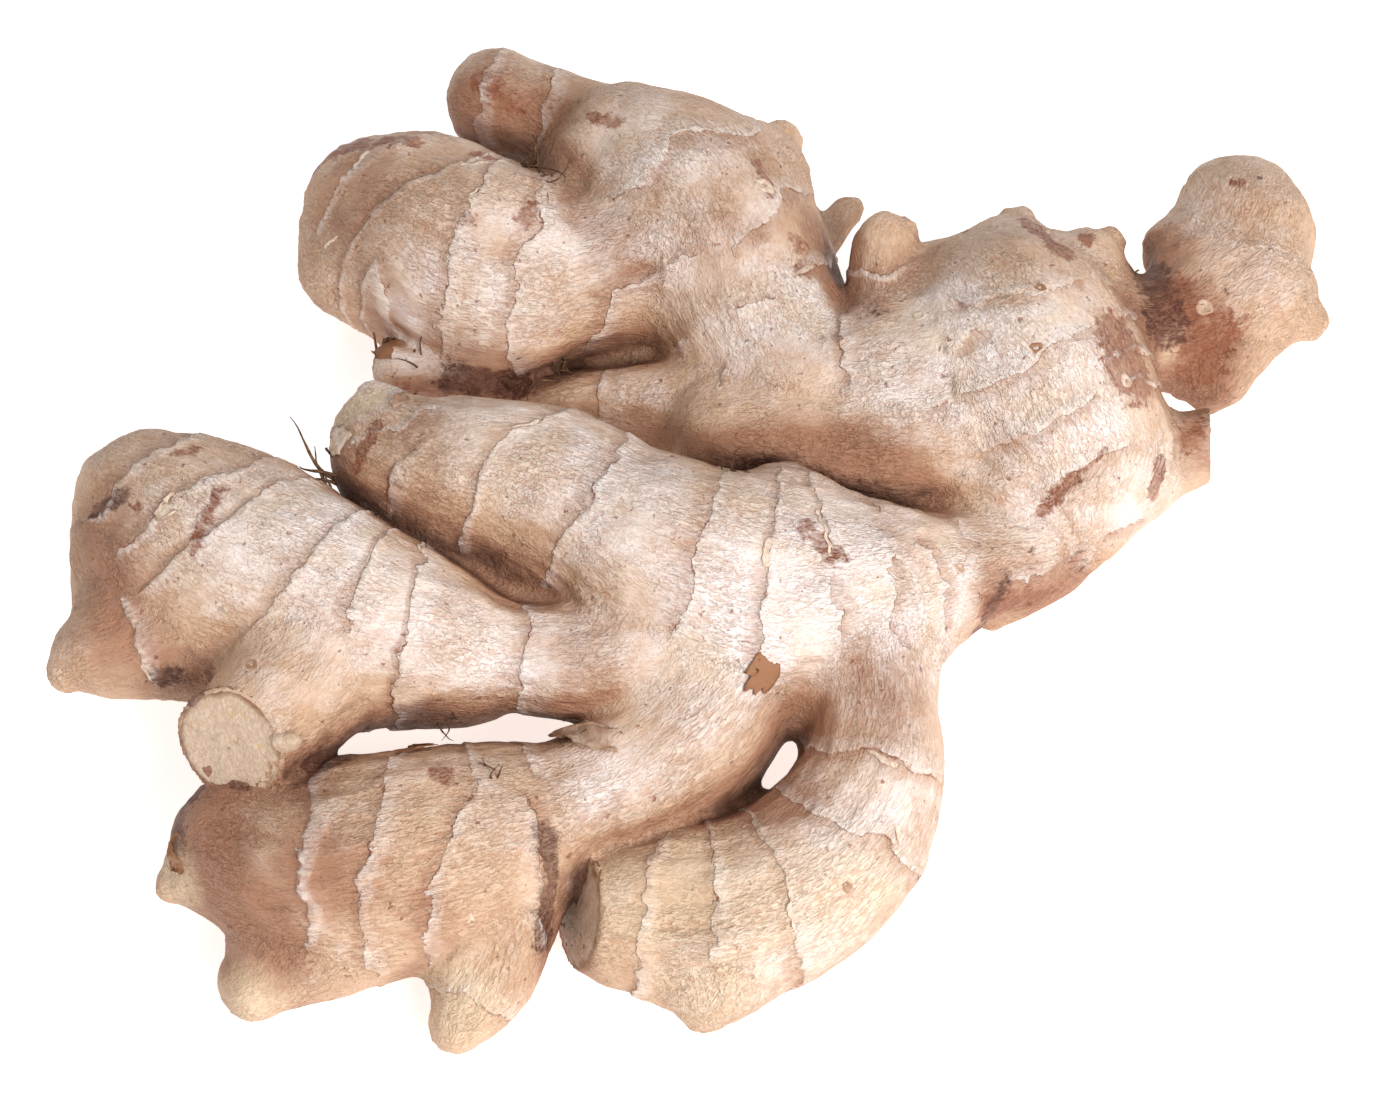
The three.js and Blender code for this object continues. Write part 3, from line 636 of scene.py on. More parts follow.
class Skin:
    """The whole skin of the hand as one closed mesh."""

    LIMB_SHIFT = 31.7  # keeps the relief of neighbouring limbs apart, mm

    def __init__(self, hand: Hand, voxel: float) -> None:
        """Keeps the hand. Args: hand: the limbs; voxel: pitch of the grid, mm."""
        self.hand = hand
        self.voxel = voxel
        self.furrow = Grain(11)
        self.pucker = Grain(23)

    def grid(self) -> tuple[Array, Array]:
        """Fills a grid with the hand's depth, finely near the skin and roughly elsewhere.

        Returns:
            The grid and the place of its first corner in mm.
        """
        lines = self.hand.lines
        margin = 4 * self.voxel
        low = np.min([line.low for line in lines], axis=0) - margin
        low[2] = -TO_FRAME[2] - margin
        high = np.max([line.high for line in lines], axis=0) + margin
        ratio = int(round(COARSE_PITCH / self.voxel))
        shape = np.ceil((high - low) / (self.voxel * ratio)).astype(int) + 1
        axes = [low[i] + self.voxel * ratio * np.arange(shape[i]) for i in range(3)]
        coarse = np.stack(np.meshgrid(*axes, indexing="ij"), axis=-1).reshape(-1, 3)
        rough = self.hand.depth(coarse)[0].reshape(shape)
        for axis in range(3):
            rough = self.stretched(rough, axis, ratio)
        rough = np.clip(rough, -DEEPEST, DEEPEST).astype(np.float32)
        near = np.argwhere(np.abs(rough) < BAND)
        fine = np.empty(len(near), np.float32)
        for first in range(0, len(near), CHUNK):
            part = near[first:first + CHUNK]
            fine[first:first + CHUNK] = self.hand.depth(low + self.voxel * part)[0]
        rough[tuple(near.T)] = fine
        return rough, low

    @staticmethod
    def stretched(values: Array, axis: int, ratio: int) -> Array:
        """Returns values drawn out evenly along an axis, ratio steps for one."""
        count = values.shape[axis]
        place = np.arange((count - 1) * ratio + 1) / ratio
        base = np.minimum(place.astype(int), count - 2)
        shape = [1, 1, 1]
        shape[axis] = -1
        share = (place - base).reshape(shape)
        return np.take(values, base, axis) * (1 - share) + np.take(values, base + 1, axis) * share

    def read(self, points: Array) -> SkinMap:
        """Works out what vertices at these places know. Args: points: places in mm."""
        owner, reading = self.hand.nearest(points)
        signed, mark, flesh = (np.zeros(len(points)) for _ in range(3))
        for number, line in enumerate(self.hand.lines):
            mine = np.flatnonzero(owner == number)
            if not len(mine):
                continue
            signed[mine], mark[mine] = line.scar_phase(reading.picked(mine))
            if line.limb.cut:
                flesh[mine] = smooth_step(line.past_cut(points[mine]), *CUT_RIM)
        wander = np.stack([self.pucker.layered(points * SEAM_PITCH + shift)
                           for shift in (0, 40, 80)], 1)
        for seam in SEAMS:
            near = seam.near(points)
            if len(near):
                gap, felt = seam.read(points[near] + SEAM_WANDER * wander[near])
                mine = felt > SEAM_MARK
                signed[near[mine]], mark[near[mine]] = gap[mine], felt[mine]
        second = self.hand.depth(points)[1]
        crevice = (np.exp(-np.maximum(second, 0) / CREVICE_REACH)
                   * (1 - FORK_OPEN * self.hand.fork_share(points)))
        return SkinMap(owner, reading, signed, mark, crevice, flesh)

    def relief(self, points: Array, skin: SkinMap) -> Array:
        """Returns the height of the skin's relief at its vertices, in mm."""
        place = np.stack([skin.reading.at, skin.reading.left, skin.reading.top], axis=1)
        place = place + self.LIMB_SHIFT * skin.owner[:, None]
        near = smooth_step(skin.mark, *CUFF_MARKS)
        before = CUFF_RISE * np.exp(np.minimum(skin.signed, 0) / RISE_REACH)
        after = -CUFF_DROP * np.exp(-np.maximum(skin.signed, 0) / DROP_REACH)
        turn = smooth_step(skin.signed, -CUFF_TURN, CUFF_TURN)
        strength = CUFF_MEAN + CUFF_SPREAD * self.pucker.read(place * CUFF_PITCH + 5)
        strength = np.clip(strength, *CUFF_LIMITS) + BOLD_CUFF * np.maximum(skin.mark - 1.0, 0)
        cuff = near * strength * (before * (1 - turn) + after * turn)
        furrow = FURROW * self.furrow.layered(place * FURROW_PITCH)
        pleat = np.exp(-np.abs(skin.signed) / PLEAT_REACH) * near
        pucker = PUCKER * self.pucker.layered(place * PUCKER_PITCH, 2) * (PUCKER_SHARE + pleat)
        calm = (1 - skin.flesh) * (1 - CREVICE_CALM * skin.crevice)
        dent = DENT * self.pucker.layered(points * DENT_PITCH + 11)
        pith = PITH * skin.flesh * self.furrow.layered(points * PITH_PITCH, 2)
        return calm * (cuff + furrow + pucker) + (1 - skin.flesh) * dent + pith

    def build(self) -> tuple[Object, SkinMap]:
        """Draws the skin, raises its relief and thins it to its triangle budget.

        Returns:
            The object in the frame, and what its vertices know.
        """
        values, low = self.grid()
        volume = openvdb.FloatGrid(DEEPEST)
        volume.copyFromArray(values)
        points, quads = volume.convertToQuads(0.0)
        points = points.astype(float) * self.voxel + low
        LOG.info("skin drawn: %d quads", len(quads))
        mesh = make_mesh("skin_draft", points, quads)
        height = self.relief(points, self.read(points))
        floor = -TO_FRAME[2]
        foot = smooth_step(points[:, 2] - floor, 0.0, FOOT)
        raised = points + mesh_normals(mesh) * (height * foot)[:, None]
        raised[:, 2] = np.maximum(raised[:, 2], floor)
        mesh.vertices.foreach_set("co", raised.ravel())
        mesh.update()
        skin = thinned(mesh, SKIN_TRIANGLES)
        settled = mesh_points(skin)
        data = self.read(settled)
        data.open = self.hand.openness(settled, mesh_normals(skin))
        skin.vertices.foreach_set("co", to_frame(settled).ravel())
        skin.name = "ginger_skin"
        skin.update()
        LOG.info("skin thinned: %d vertices, %d faces", len(skin.vertices), len(skin.polygons))
        return place_object(skin), data


def make_mesh(name: str, points: Array, faces: Array) -> Mesh:
    """Makes a mesh of points and of faces that all have the same number of corners."""
    mesh = bpy.data.meshes.new(name)
    corners = faces.shape[1]
    mesh.vertices.add(len(points))
    mesh.vertices.foreach_set("co", np.asarray(points, np.float32).ravel())
    mesh.loops.add(faces.size)
    mesh.loops.foreach_set("vertex_index", faces.astype(np.int32).ravel())
    mesh.polygons.add(len(faces))
    mesh.polygons.foreach_set("loop_start", np.arange(0, faces.size, corners, dtype=np.int32))
    mesh.update(calc_edges=True)
    mesh.validate()
    mesh.polygons.foreach_set("use_smooth", np.ones(len(mesh.polygons), bool))
    return mesh


def mesh_points(mesh: Mesh) -> Array:
    """Returns the mesh's vertices, n by 3."""
    flat = np.empty(len(mesh.vertices) * 3)
    mesh.vertices.foreach_get("co", flat)
    return flat.reshape(-1, 3)


def mesh_normals(mesh: Mesh) -> Array:
    """Returns the normals of the mesh's vertices, n by 3."""
    flat = np.empty(len(mesh.vertices) * 3)
    mesh.vertex_normals.foreach_get("vector", flat)
    return flat.reshape(-1, 3)


def thinned(mesh: Mesh, triangles: int) -> Mesh:
    """Returns a copy of the mesh thinned to a number of triangles, fine where it bends most."""
    draft = bpy.data.objects.new("draft", mesh)
    bpy.context.scene.collection.objects.link(draft)
    split = draft.modifiers.new("split", "TRIANGULATE")
    split.quad_method = "SHORTEST_DIAGONAL"
    sides = sum(len(polygon.vertices) - 2 for polygon in mesh.polygons)
    thin = draft.modifiers.new("thin", "DECIMATE")
    thin.ratio = min(1.0, triangles / sides)
    depsgraph = bpy.context.evaluated_depsgraph_get()
    result = bpy.data.meshes.new_from_object(draft.evaluated_get(depsgraph))
    bpy.data.objects.remove(draft)
    bpy.data.meshes.remove(mesh)
    result.polygons.foreach_set("use_smooth", np.ones(len(result.polygons), bool))
    return result


def place_object(mesh: Mesh) -> Object:
    """Puts a mesh in the scene as an object of the same name."""
    item = bpy.data.objects.new(mesh.name, mesh)
    bpy.context.scene.collection.objects.link(item)
    return item


def write_attribute(mesh: Mesh, name: str, values: Array) -> None:
    """Stores one number or one vector for each vertex under a name."""
    kind = "FLOAT" if values.ndim == 1 else "FLOAT_VECTOR"
    attribute = mesh.attributes.new(name, kind, "POINT")
    key = "value" if values.ndim == 1 else "vector"
    attribute.data.foreach_set(key, np.asarray(values, np.float32).ravel())


class Stain(Enum):
    """What a spot does to the skin."""

    # Pale powdery skin, partly its own and partly painted light that lifts shaded places.
    BLOOM = "pale powdery bloom"
    BUTTER = "pale yellow of young skin"
    # Soft brown tone of the skin, partly painted shade under the sheath flap and in valleys.
    WARM = "soft brown shade"
    RUST = "reddish brown bark"
    # Dark brown marks, partly the skin's own and partly painted shade in slits and under the heel.
    DARK = "dark bruise"


@dataclass(frozen=True)
class Spot:
    """A mark that follows a line on the skin, from start to end, in mm."""

    start: Point
    reach: float
    strength: float = 1.0
    end: Point | None = None

    def felt(self, points: Array) -> Array:
        """Returns how strongly the spot is felt at points, 0.5 at its reach."""
        start = np.array(self.start, float)
        run = np.array(self.end or self.start, float) - start
        share = np.clip((points - start) @ run / max(run @ run, 1e-9), 0, 1)
        gap = np.linalg.norm(points - start - share[:, None] * run, axis=1)
        return self.strength * np.exp2(-((gap / self.reach) ** 2))


# What marks the skin: the middle or the start of each mark, its reach, strength and end.
SPOTS: dict[Stain, tuple[Spot, ...]] = {
    # Partly painted light: some of these pale places that turn away from the lamps.
    Stain.BLOOM: (
        Spot((10, -14, 34), 13, 1.0, (24, -10, 30)), Spot((44, 22, 36), 12),
        Spot((52, 14, 30), 9), Spot((28, 20, 31), 7, 0.7), Spot((46, 2, 24), 7, 0.7),
        Spot((34, 24, 32), 8, 0.8), Spot((-52, -25, 34), 6, 0.1), Spot((-47, -6, 36), 9, 1.2),
        Spot((-26, -17, 30), 9, 0.75), Spot((-2, -20, 30), 7, 0.3), Spot((14, 36, 30), 6, 0.9),
        Spot((-18, 47, 29), 8, 0.7), Spot((-5, 58, 32), 7, 0.5), Spot((80, 47, 20), 4, 0.1),
        Spot((-12, -37, 25), 7, 0.5), Spot((22, -42, 22), 9, 0.8),
        Spot((16, -54, 15), 10, 0.6, (27, -40, 15)), Spot((36, 30, 33), 8, 0.8),
        Spot((58, 10, 20), 9, 0.8), Spot((0, 47, 31), 9, 0.2), Spot((6, 32, 28), 6, 0.6),
        Spot((-30, -24, 26), 5, 0.8), Spot((52, 2, 17), 5, 0.7), Spot((-14, 58, 29), 5, 0.5),
        Spot((-10, 24, 20), 5, 0.6), Spot((-56, -8, 37), 10, 0.6, (-38, -13, 35)),
        Spot((-24, 8, 37), 11, 0.45, (-8, 0, 39)), Spot((-42.5, 21, 28), 3.2, 1.7),
        Spot((-30, 39, 20), 7, 1.8, (-39, 38, 18)), Spot((36, 8, 27), 8, 0.4),
    ),
    Stain.BUTTER: (
        Spot((-44.5, 19, 28), 2.4, 1.3, (-47.5, 17, 26)), Spot((-68, -45.5, 14), 4),
        Spot((-58, -60, 10), 4.5, 0.8), Spot((-31, -62, 12), 6, 0.9),
        Spot((20, -51, 19), 9, 0.6, (-8, -52, 20)), Spot((2, -60, 14), 7, 0.7),
        Spot((67, 37, 20), 1.6, 1.0, (66, 33, 17)),
    ),
    # Partly painted shade: the spots under the sheath flap and in the valleys.
    Stain.WARM: (
        Spot((-66.5, -38.5, 19), 8, 1.6, (-58, -54, 16)), Spot((-50, -50, 26), 8, 0.9),
        Spot((67, 36, 17), 9, 1.4), Spot((70, 50, 15), 7, 0.9),
        Spot((-79, -2, 30), 8, 1.0, (-77, -14, 27)), Spot((24, 36, 26), 6, 1.0),
        Spot((30, 38, 27), 5, 0.8, (20, 22, 18)), Spot((8, 14, 24), 6, 1.1, (26, 12, 24)),
        Spot((-2, 25, 16), 6, 0.5), Spot((-15, -20.5, 28.5), 8, 0.75),
        Spot((-34, -56, 14), 4, 1.0, (-35, -51, 22)),
        Spot((12, -38.5, 23.5), 5, 0.9, (8, -40, 20)), Spot((-16, 50, 28), 6, 0.7, (-8, 42, 27)),
        Spot((40, -7, 20), 6, 0.9, (50, -2, 12)), Spot((-24, 31, 12), 3, 0.8, (-38, 31, 12)),
        Spot((-48, 56, 24), 11, 0.7), Spot((-31, 76, 20), 8, 1.1, (-22, 70, 21)),
        Spot((-35, 58, 30), 10, 0.5), Spot((-3, 60, 33), 9, 0.4, (10, 58, 31)),
        Spot((23, -20, 27), 7, 0.8, (24, -28, 26)), Spot((-36, 14, 33), 8, 0.5),
        Spot((68, 20, 17), 4, 1.0), Spot((16, -27, 22), 6, 0.9), Spot((-47, 13, 28), 4, 0.8),
        Spot((0, 66, 28), 7, 0.4, (14, 50, 28)), Spot((3, 45, 31), 8, 0.7),
        Spot((-47, 12, 26), 7, 0.5), Spot((20, 44, 27), 5, 0.7), Spot((-14, -36, 26), 7, 0.5),
        Spot((-6, 45, 32), 6, 0.5), Spot((27, -6, 30), 5, 0.6),
        Spot((81, 42, 18), 6, 0.5, (75, 54, 20)), Spot((-6, -34, 26), 7, 0.4),
        Spot((-55, -22, 25), 5, 0.25),
    ),
    Stain.RUST: (
        Spot((57.5, 27, 31.5), 4.0, 1.5, (59.5, 23.5, 30)),
        Spot((46.5, 51, 26), 1.6, 1.5, (50, 41, 33)), Spot((54.5, 49, 24.5), 1.5),
        Spot((50.5, 8.5, 26), 1.2, 1.0, (47, 5.5, 23.5)),
        Spot((55, 12, 28), 0.7, 0.8, (51, 9, 26.5)),
        Spot((14, -4.5, 35.5), 1.5, 0.9, (18, -9, 34.8)),
        Spot((8.5, 57.5, 31), 1.1, 0.9, (10, 52, 31)), Spot((14, 45, 29), 1.8, 0.8),
        Spot((14.5, 41, 28.5), 1.4), Spot((-15, 66.5, 28.5), 1.0, 0.9, (-11, 64, 30.5)),
        Spot((-33, -37.5, 29), 1.6), Spot((-54, 64, 20), 2.0, 1.3, (-48, 65, 24)),
        Spot((-44, 64, 26), 1.6, 1.2, (-40, 62, 28)), Spot((-31.5, 46, 33), 1.2, 0.9),
        Spot((-24, 47, 31.5), 1.4, 1.0, (-24, 53, 29)),
        Spot((-31, 60, 28.5), 1.0, 0.9, (-26, 57, 28)),
        Spot((-66, -8, 36), 0.9, 1.0, (-63, 1, 37)), Spot((-74, -1, 34), 0.9, 1.0, (-71, 8, 32)),
        Spot((-46, 37, 14), 2.4, 1.2, (-41, 32, 13)), Spot((67, 19, 18), 2.4, 0.55, (70, 23, 18)),
        Spot((-31, 78, 21), 1.8, 0.8, (-26, 72, 22.5)), Spot((-24, 66, 23), 1.6, 0.8),
        Spot((70, 33.5, 14), 3.0, 0.9, (73.5, 38, 17.5)), Spot((76.5, 60.5, 21.5), 1.2, 0.9),
        Spot((39.5, -8, 20), 2.5, 0.9, (50, -3, 12)), Spot((69, 35, 19), 3.0, 1.2, (66, 43, 20)),
        Spot((75, 39, 20.5), 1.8, 1.1, (73, 35, 18)),
        Spot((-73, 5, 33.5), 0.9, 1.0, (-66, 9.5, 34)),
        Spot((-43, 14, 31), 1.0, 1.0, (-46, 8.5, 29.5)),
        Spot((63, 14, 21.5), 0.9, 1.6, (62, 10.5, 19.5)),
    ),
    # Partly painted shade: the marks along the slit and under the heel.
    Stain.DARK: (
        Spot((63, 47, 17), 3.0, 1.2, (65, 38, 19)),
        Spot((-80.5, 1, 31), 1.2, 1.1, (-76, 1.5, 33.5)),
        Spot((-70.5, -20.5, 23.5), 1.8, 1.1, (-65, -27, 30)), Spot((-22.5, 60, 27), 1.4, 0.8),
        Spot((-25, 31.5, 14), 2.2, 1.1, (-34, 32, 15)),
        Spot((-68, -41, 16), 2.4, 1.1, (-65, -35, 17)),
        Spot((-60, -36, 22), 1.4, 1.0, (-46, -33, 26)),
        Spot((41, -5.5, 22.5), 1.3, 0.9, (38, -10, 18)), Spot((45, -0.5, 22.5), 0.6),
        Spot((52.5, 1, 14.5), 0.6), Spot((22.5, 34, 27), 2.0, 0.8, (28, 31, 29)),
        Spot((-20, -44, 24.5), 1.6, 1.3, (-20, -54, 14)),
        Spot((8, 12, 22), 2.4, 0.9, (24, 11, 21)), Spot((28, 26.5, 31.5), 0.6),
        Spot((-62.5, 10, 31), 0.7), Spot((79.5, 61.5, 21), 0.6), Spot((74, 42.5, 20.5), 0.7),
    ),
}


class SkinTones:
    """Writes what the skin's vertices know into the mesh, for its finish to read."""

    GRAIN_SHIFT = 37.0  # keeps the grain of neighbouring limbs apart, mm
    ROUNDS = 2  # rings of vertices over which borders and hollows are softened
    BORDER_GAIN = 2.2  # widens the borders between limbs again after that

    def write(self, mesh: Mesh, skin: SkinMap) -> None:
        """Stores grain, scar, tone and stain on the vertices.

        Args:
            mesh: the finished skin, in metres.
            skin: what its vertices know.
        """
        points = mesh_points(mesh) / MM - TO_FRAME
        pairs = np.empty(len(mesh.edges) * 2, np.int32)
        mesh.edges.foreach_get("vertices", pairs)
        pairs = pairs.reshape(-1, 2)
        split = skin.owner[pairs[:, 0]] != skin.owner[pairs[:, 1]]
        border = self.spread(split, pairs, len(points))
        reading = skin.reading
        shift = self.GRAIN_SHIFT * skin.owner
        write_attribute(mesh, "grain", np.stack([reading.at + shift, reading.left, reading.top], 1))
        calm = (1 - border) * (1 - skin.flesh)
        write_attribute(mesh, "scar", np.stack([skin.signed, skin.mark * calm, border], 1))
        felt = {stain: np.max([spot.felt(points) for spot in spots], axis=0)
                for stain, spots in SPOTS.items()}
        # Painted shade: the less open the skin lies, the darker its finish makes it.
        crevice_shade = 1 - self.smoothed(skin.open, pairs)
        write_attribute(mesh, "tone", np.stack([crevice_shade, felt[Stain.BLOOM], felt[Stain.BUTTER]], 1))
        write_attribute(mesh, "stain",
                        np.stack([felt[Stain.WARM], felt[Stain.RUST], felt[Stain.DARK]], 1))

    def spread(self, split: Array, pairs: Array, count: int) -> Array:
        """Returns 1 at vertices beside a split edge, fading over a few rings round them."""
        mark = np.zeros(count)
        mark[pairs[split].ravel()] = 1.0
        return np.maximum(mark, np.clip(self.BORDER_GAIN * self.smoothed(mark, pairs), 0, 1))

    def smoothed(self, values: Array, pairs: Array) -> Array:
        """Returns values averaged with those of neighbouring vertices, a number of times."""
        degree = np.bincount(pairs.ravel(), minlength=len(values)) + 1.0
        for _ in range(self.ROUNDS):
            total = values + np.bincount(pairs[:, 0], values[pairs[:, 1]], len(values))
            total += np.bincount(pairs[:, 1], values[pairs[:, 0]], len(values))
            values = total / degree
        return values


def to_frame(points: Array) -> Array:
    """Returns points in the frame, in metres, from places in mm."""
    return (points + TO_FRAME) * MM


def end_faces(ring: Array) -> Array:
    """Returns the faces that close a ring of an even number of vertices."""
    return np.array([[ring[k], ring[k + 1], ring[-k - 2], ring[-k - 1]]
                     for k in range(len(ring) // 2 - 1)])


class Sheets:
    """Gathers thin closed sheets into one mesh."""

    def __init__(self, name: str) -> None:
        """Starts empty. Args: name: the piece's name."""
        self.name = name
        self.points: list[Array] = []
        self.faces: list[Array] = []
        self.lips: list[Array] = []
        self.tints: list[Array] = []
        self.count = 0

    def add(self, top: Array, down: Array, lip: Array, tint: float) -> None:
        """Adds one sheet.

        Args:
            top: its upper face, rows by columns by 3, mm.
            down: the offset from the upper to the lower face at each point, mm.
            lip: how close each point is to the sheet's free edge, 0 to 1.
            tint: how brown the sheet is, 0 to 1.
        """
        rows, columns = top.shape[:2]
        index = np.arange(rows * columns).reshape(rows, columns)
        quads = np.stack([index[:-1, :-1], index[:-1, 1:], index[1:, 1:], index[1:, :-1]], -1)
        upper = quads.reshape(-1, 4)
        lower = upper[:, ::-1] + rows * columns
        rim = np.concatenate([index[0, ::-1], index[1:, 0], index[-1, 1:], index[-2:0:-1, -1]])
        after = np.roll(rim, -1)
        sides = np.stack([rim, rim + rows * columns, after + rows * columns, after], 1)[:, ::-1]
        points = np.concatenate([top.reshape(-1, 3), (top + down).reshape(-1, 3)])
        points[:, 2] = np.maximum(points[:, 2], -TO_FRAME[2])
        self.points.append(points)
        self.faces.append(np.concatenate([upper, lower, sides]) + self.count)
        self.lips.append(np.tile(lip.ravel(), 2))
        self.tints.append(np.full(rows * columns * 2, tint))
        self.count += rows * columns * 2

    def build(self) -> Object:
        """Returns the object with all the sheets, in the frame."""
        points, faces, lips, tints = (np.concatenate(parts) for parts in (
            self.points, self.faces, self.lips, self.tints))
        mesh = make_mesh(self.name, to_frame(points), faces)
        write_attribute(mesh, "leaf", np.stack([lips, tints, np.zeros(self.count)], 1))
        return place_object(mesh)


class Ground:
    """The finished skin as something that other pieces are laid on."""

    def __init__(self, mesh: Mesh, skin: SkinMap) -> None:
        """Indexes the skin. Args: mesh: the skin, in metres; skin: what its vertices know."""
        self.points = mesh_points(mesh) / MM - TO_FRAME
        corners = np.empty(len(mesh.polygons) * 3, np.int32)
        mesh.polygons.foreach_get("vertices", corners)
        self.faces = corners.reshape(-1, 3)
        self.tree = BVHTree.FromPolygons([Vector(p) for p in self.points], self.faces.tolist())
        self.owner = skin.owner
        self.normals = mesh_normals(mesh)

    def under(self, point: Array) -> tuple[Array, Array, int, float]:
        """Finds the skin nearest to a point.

        Args:
            point: a place in mm.

        Returns:
            The place on the skin, its smoothed normal, its limb and the distance to it.
        """
        spot, _, face, gap = self.tree.find_nearest(Vector(point))
        corners = self.faces[face]
        weights = 1.0 / (np.linalg.norm(self.points[corners] - np.array(spot), axis=1) + 0.05)
        normal = unit((self.normals[corners] * weights[:, None]).sum(0))
        return np.array(spot), normal, int(self.owner[corners[int(weights.argmax())]]), float(gap)


@dataclass
class LeafCuffs:
    """Ragged papery remains that stand along the leaf scars."""

    step: float = 0.4  # spacing of the columns, mm
    length: float = 0.4  # mean reach past the scar
    root: float = 1.0  # reach before the scar, under which the sheet is buried
    lift: float = 0.12
    thickness: float = 0.06
    fold: float = 1.1  # widest gap between two columns of one sheet
    loose: float = 1.6  # farthest that a column's points may lie from the skin
    share: float = 0.16  # share of each scar that still has its remains
    narrowest: int = 4  # columns in the narrowest sheet
    smallest: float = 0.12  # share of its full size that the smallest column has
    steep: float = 3.0  # how fast a sheet grows from its ends
    jagged: float = 1.6  # how much longer and shorter its teeth are
    teeth: tuple[tuple[float, ...], ...] = ((0.55, 0.9, 9), (0.45, 2.3, 4))  # weight, pitch and shift
    lips: tuple[float, ...] = (0.0, 0.25, 0.65, 1.0)  # how close each row is to the torn edge
    seed: int = 5

    def build(self, hand: Hand, ground: Ground) -> Object:
        """Lays the remains along every scar that is in the open.

        Args:
            hand: the limbs with their scars.
            ground: the finished skin.

        Returns:
            One object with all the sheets.
        """
        sheets = Sheets("leaf_remains")
        rng = np.random.default_rng(self.seed)
        ragged = Grain(self.seed)
        for number, line in enumerate(hand.lines):
            if line.limb.kin is Kin.LOW:
                continue  # the low finger has shed them
            for scar in line.limb.scars:
                self.ring(sheets, line, number, scar, ground, ragged, rng)
        LOG.info("leaf remains: %d points", sheets.count)
        return sheets.build()

    def ring(self, sheets: Sheets, line: Centreline, number: int, scar: Scar, ground: Ground,
             ragged: Grain, rng: np.random.Generator) -> None:
        """Lays the remains along one scar, in as many arcs as are in the open."""
        at, lean_left, lean_top = scar
        radius = float(np.interp(at, line.at, line.radius))
        count = max(24, int(2 * math.pi * radius / self.step))
        angles = np.linspace(0, 2 * math.pi, count, endpoint=False)
        strayed = at + line.stray(angles, np.full(count, at), radius)
        place = (at + lean_left * np.cos(angles) + lean_top * np.sin(angles)
                 + line.stray(angles, strayed, radius))
        ring = np.stack([np.cos(angles) * radius, np.sin(angles) * radius, np.full(count, at)], 1)
        here = ragged.layered(ring * 0.16 + number * 3.1, 2)
        limit = float(np.quantile(here, 1 - self.share))
        teeth = sum(weight * ragged.read(ring * pitch + shift)
                    for weight, pitch, shift in self.teeth)
        columns: list[list[tuple[Array, Array]]] = []
        for i in range(count * 2):
            j = i % count
            keep = min((here[j] - limit) * self.steep, 1.0)
            column = self.column(line, number, float(place[j]), float(angles[j]), radius, ground,
                                 keep * (1 + self.jagged * float(teeth[j]))) if keep > 0 else None
            if column is not None and (not columns or self.beside(columns[-1], column)):
                columns.append(column)
                if len(columns) <= count:
                    continue
            self.close(sheets, columns, rng)
            columns = []
            if i >= count:
                break

    def column(self, line: Centreline, number: int, at: float, angle: float, radius: float,
               ground: Ground, size: float) -> list[tuple[Array, Array]] | None:
        """Returns the points and normals of one column of a sheet, or None if it is buried."""
        size = max(size, self.smallest)
        reach = self.length * size
        steps = ((-self.root, -0.30), (-0.4, 0.0), (0.3 * reach, 0.04 + 0.5 * self.lift * size),
                 (reach, 0.05 + self.lift * size))
        column = []
        for ahead, height in steps:
            spot, normal, owner, gap = ground.under(line.point_on(at + ahead, angle))
            if gap > self.loose or owner != number:
                return None
            column.append((spot + normal * height, normal))
        return column

    def beside(self, first: list, second: list) -> bool:
        """Returns whether two columns lie close enough to belong to one sheet."""
        return all(np.linalg.norm(a - b) < self.fold for (a, _), (b, _) in zip(first, second))

    def close(self, sheets: Sheets, columns: list, rng: np.random.Generator) -> None:
        """Adds the sheet made of the columns gathered so far, if there are enough of them."""
        if len(columns) < self.narrowest:
            return
        top = np.array([[spot for spot, _ in column] for column in columns]).transpose(1, 0, 2)
        normal = np.array([[n for _, n in column] for column in columns]).transpose(1, 0, 2)
        lip = np.repeat(np.array(self.lips)[:, None], len(columns), 1)
        sheets.add(top, -self.thickness * normal, lip, float(rng.uniform(0, 0.6)))


@dataclass(frozen=True)
class Scale:
    """A loose papery scale: where it is fixed, which way it points, and its shape in mm."""

    root: Point
    tip: Point
    width: float
    lift: float
    tint: float
    curl: float = 0.0
    crop: float = 0.25  # how far its corners are rounded off


SCALES: tuple[Scale, ...] = (
    Scale((9.8, -20.0, 30.2), (6.6, -24.8, 27.4), 3.8, 0.25, 0.95, 0.15, 0.3),
    Scale((-46.5, 12.0, 28.0), (-47.5, 16.5, 24.5), 3.2, 0.4, 0.2, 0.3, 0.5),
    Scale((-39.5, 16.5, 30.5), (-40.5, 20.0, 28.5), 3.0, 0.4, 0.6, 0.4, 0.5),
    Scale((-9.0, -31.5, 25.2), (-20.0, -28.0, 21.0), 3.6, 1.0, 0.55, 0.3, 0.5),
    Scale((-41.0, 34.0, 17.0), (-46.5, 38.5, 13.0), 4.0, 0.6, 0.8, 0.4, 0.6),
    Scale((-63.0, -41.5, 14.0), (-67.5, -43.0, 14.5), 3.4, 0.4, 0.8, 0.3, 0.5),
    Scale((-24.0, 60.5, 24.5), (-23.5, 56.5, 26.5), 2.6, 0.5, 0.8, 0.2, 0.5),
    Scale((-68.0, -0.5, 35.0), (-70.5, -3.0, 34.5), 2.6, 0.3, 0.0, 0.2, 0.5),
    Scale((-40.5, -31.5, 25.0), (-34.0, -31.0, 25.0), 2.4, 0.5, 0.85, 0.2, 0.4),
)


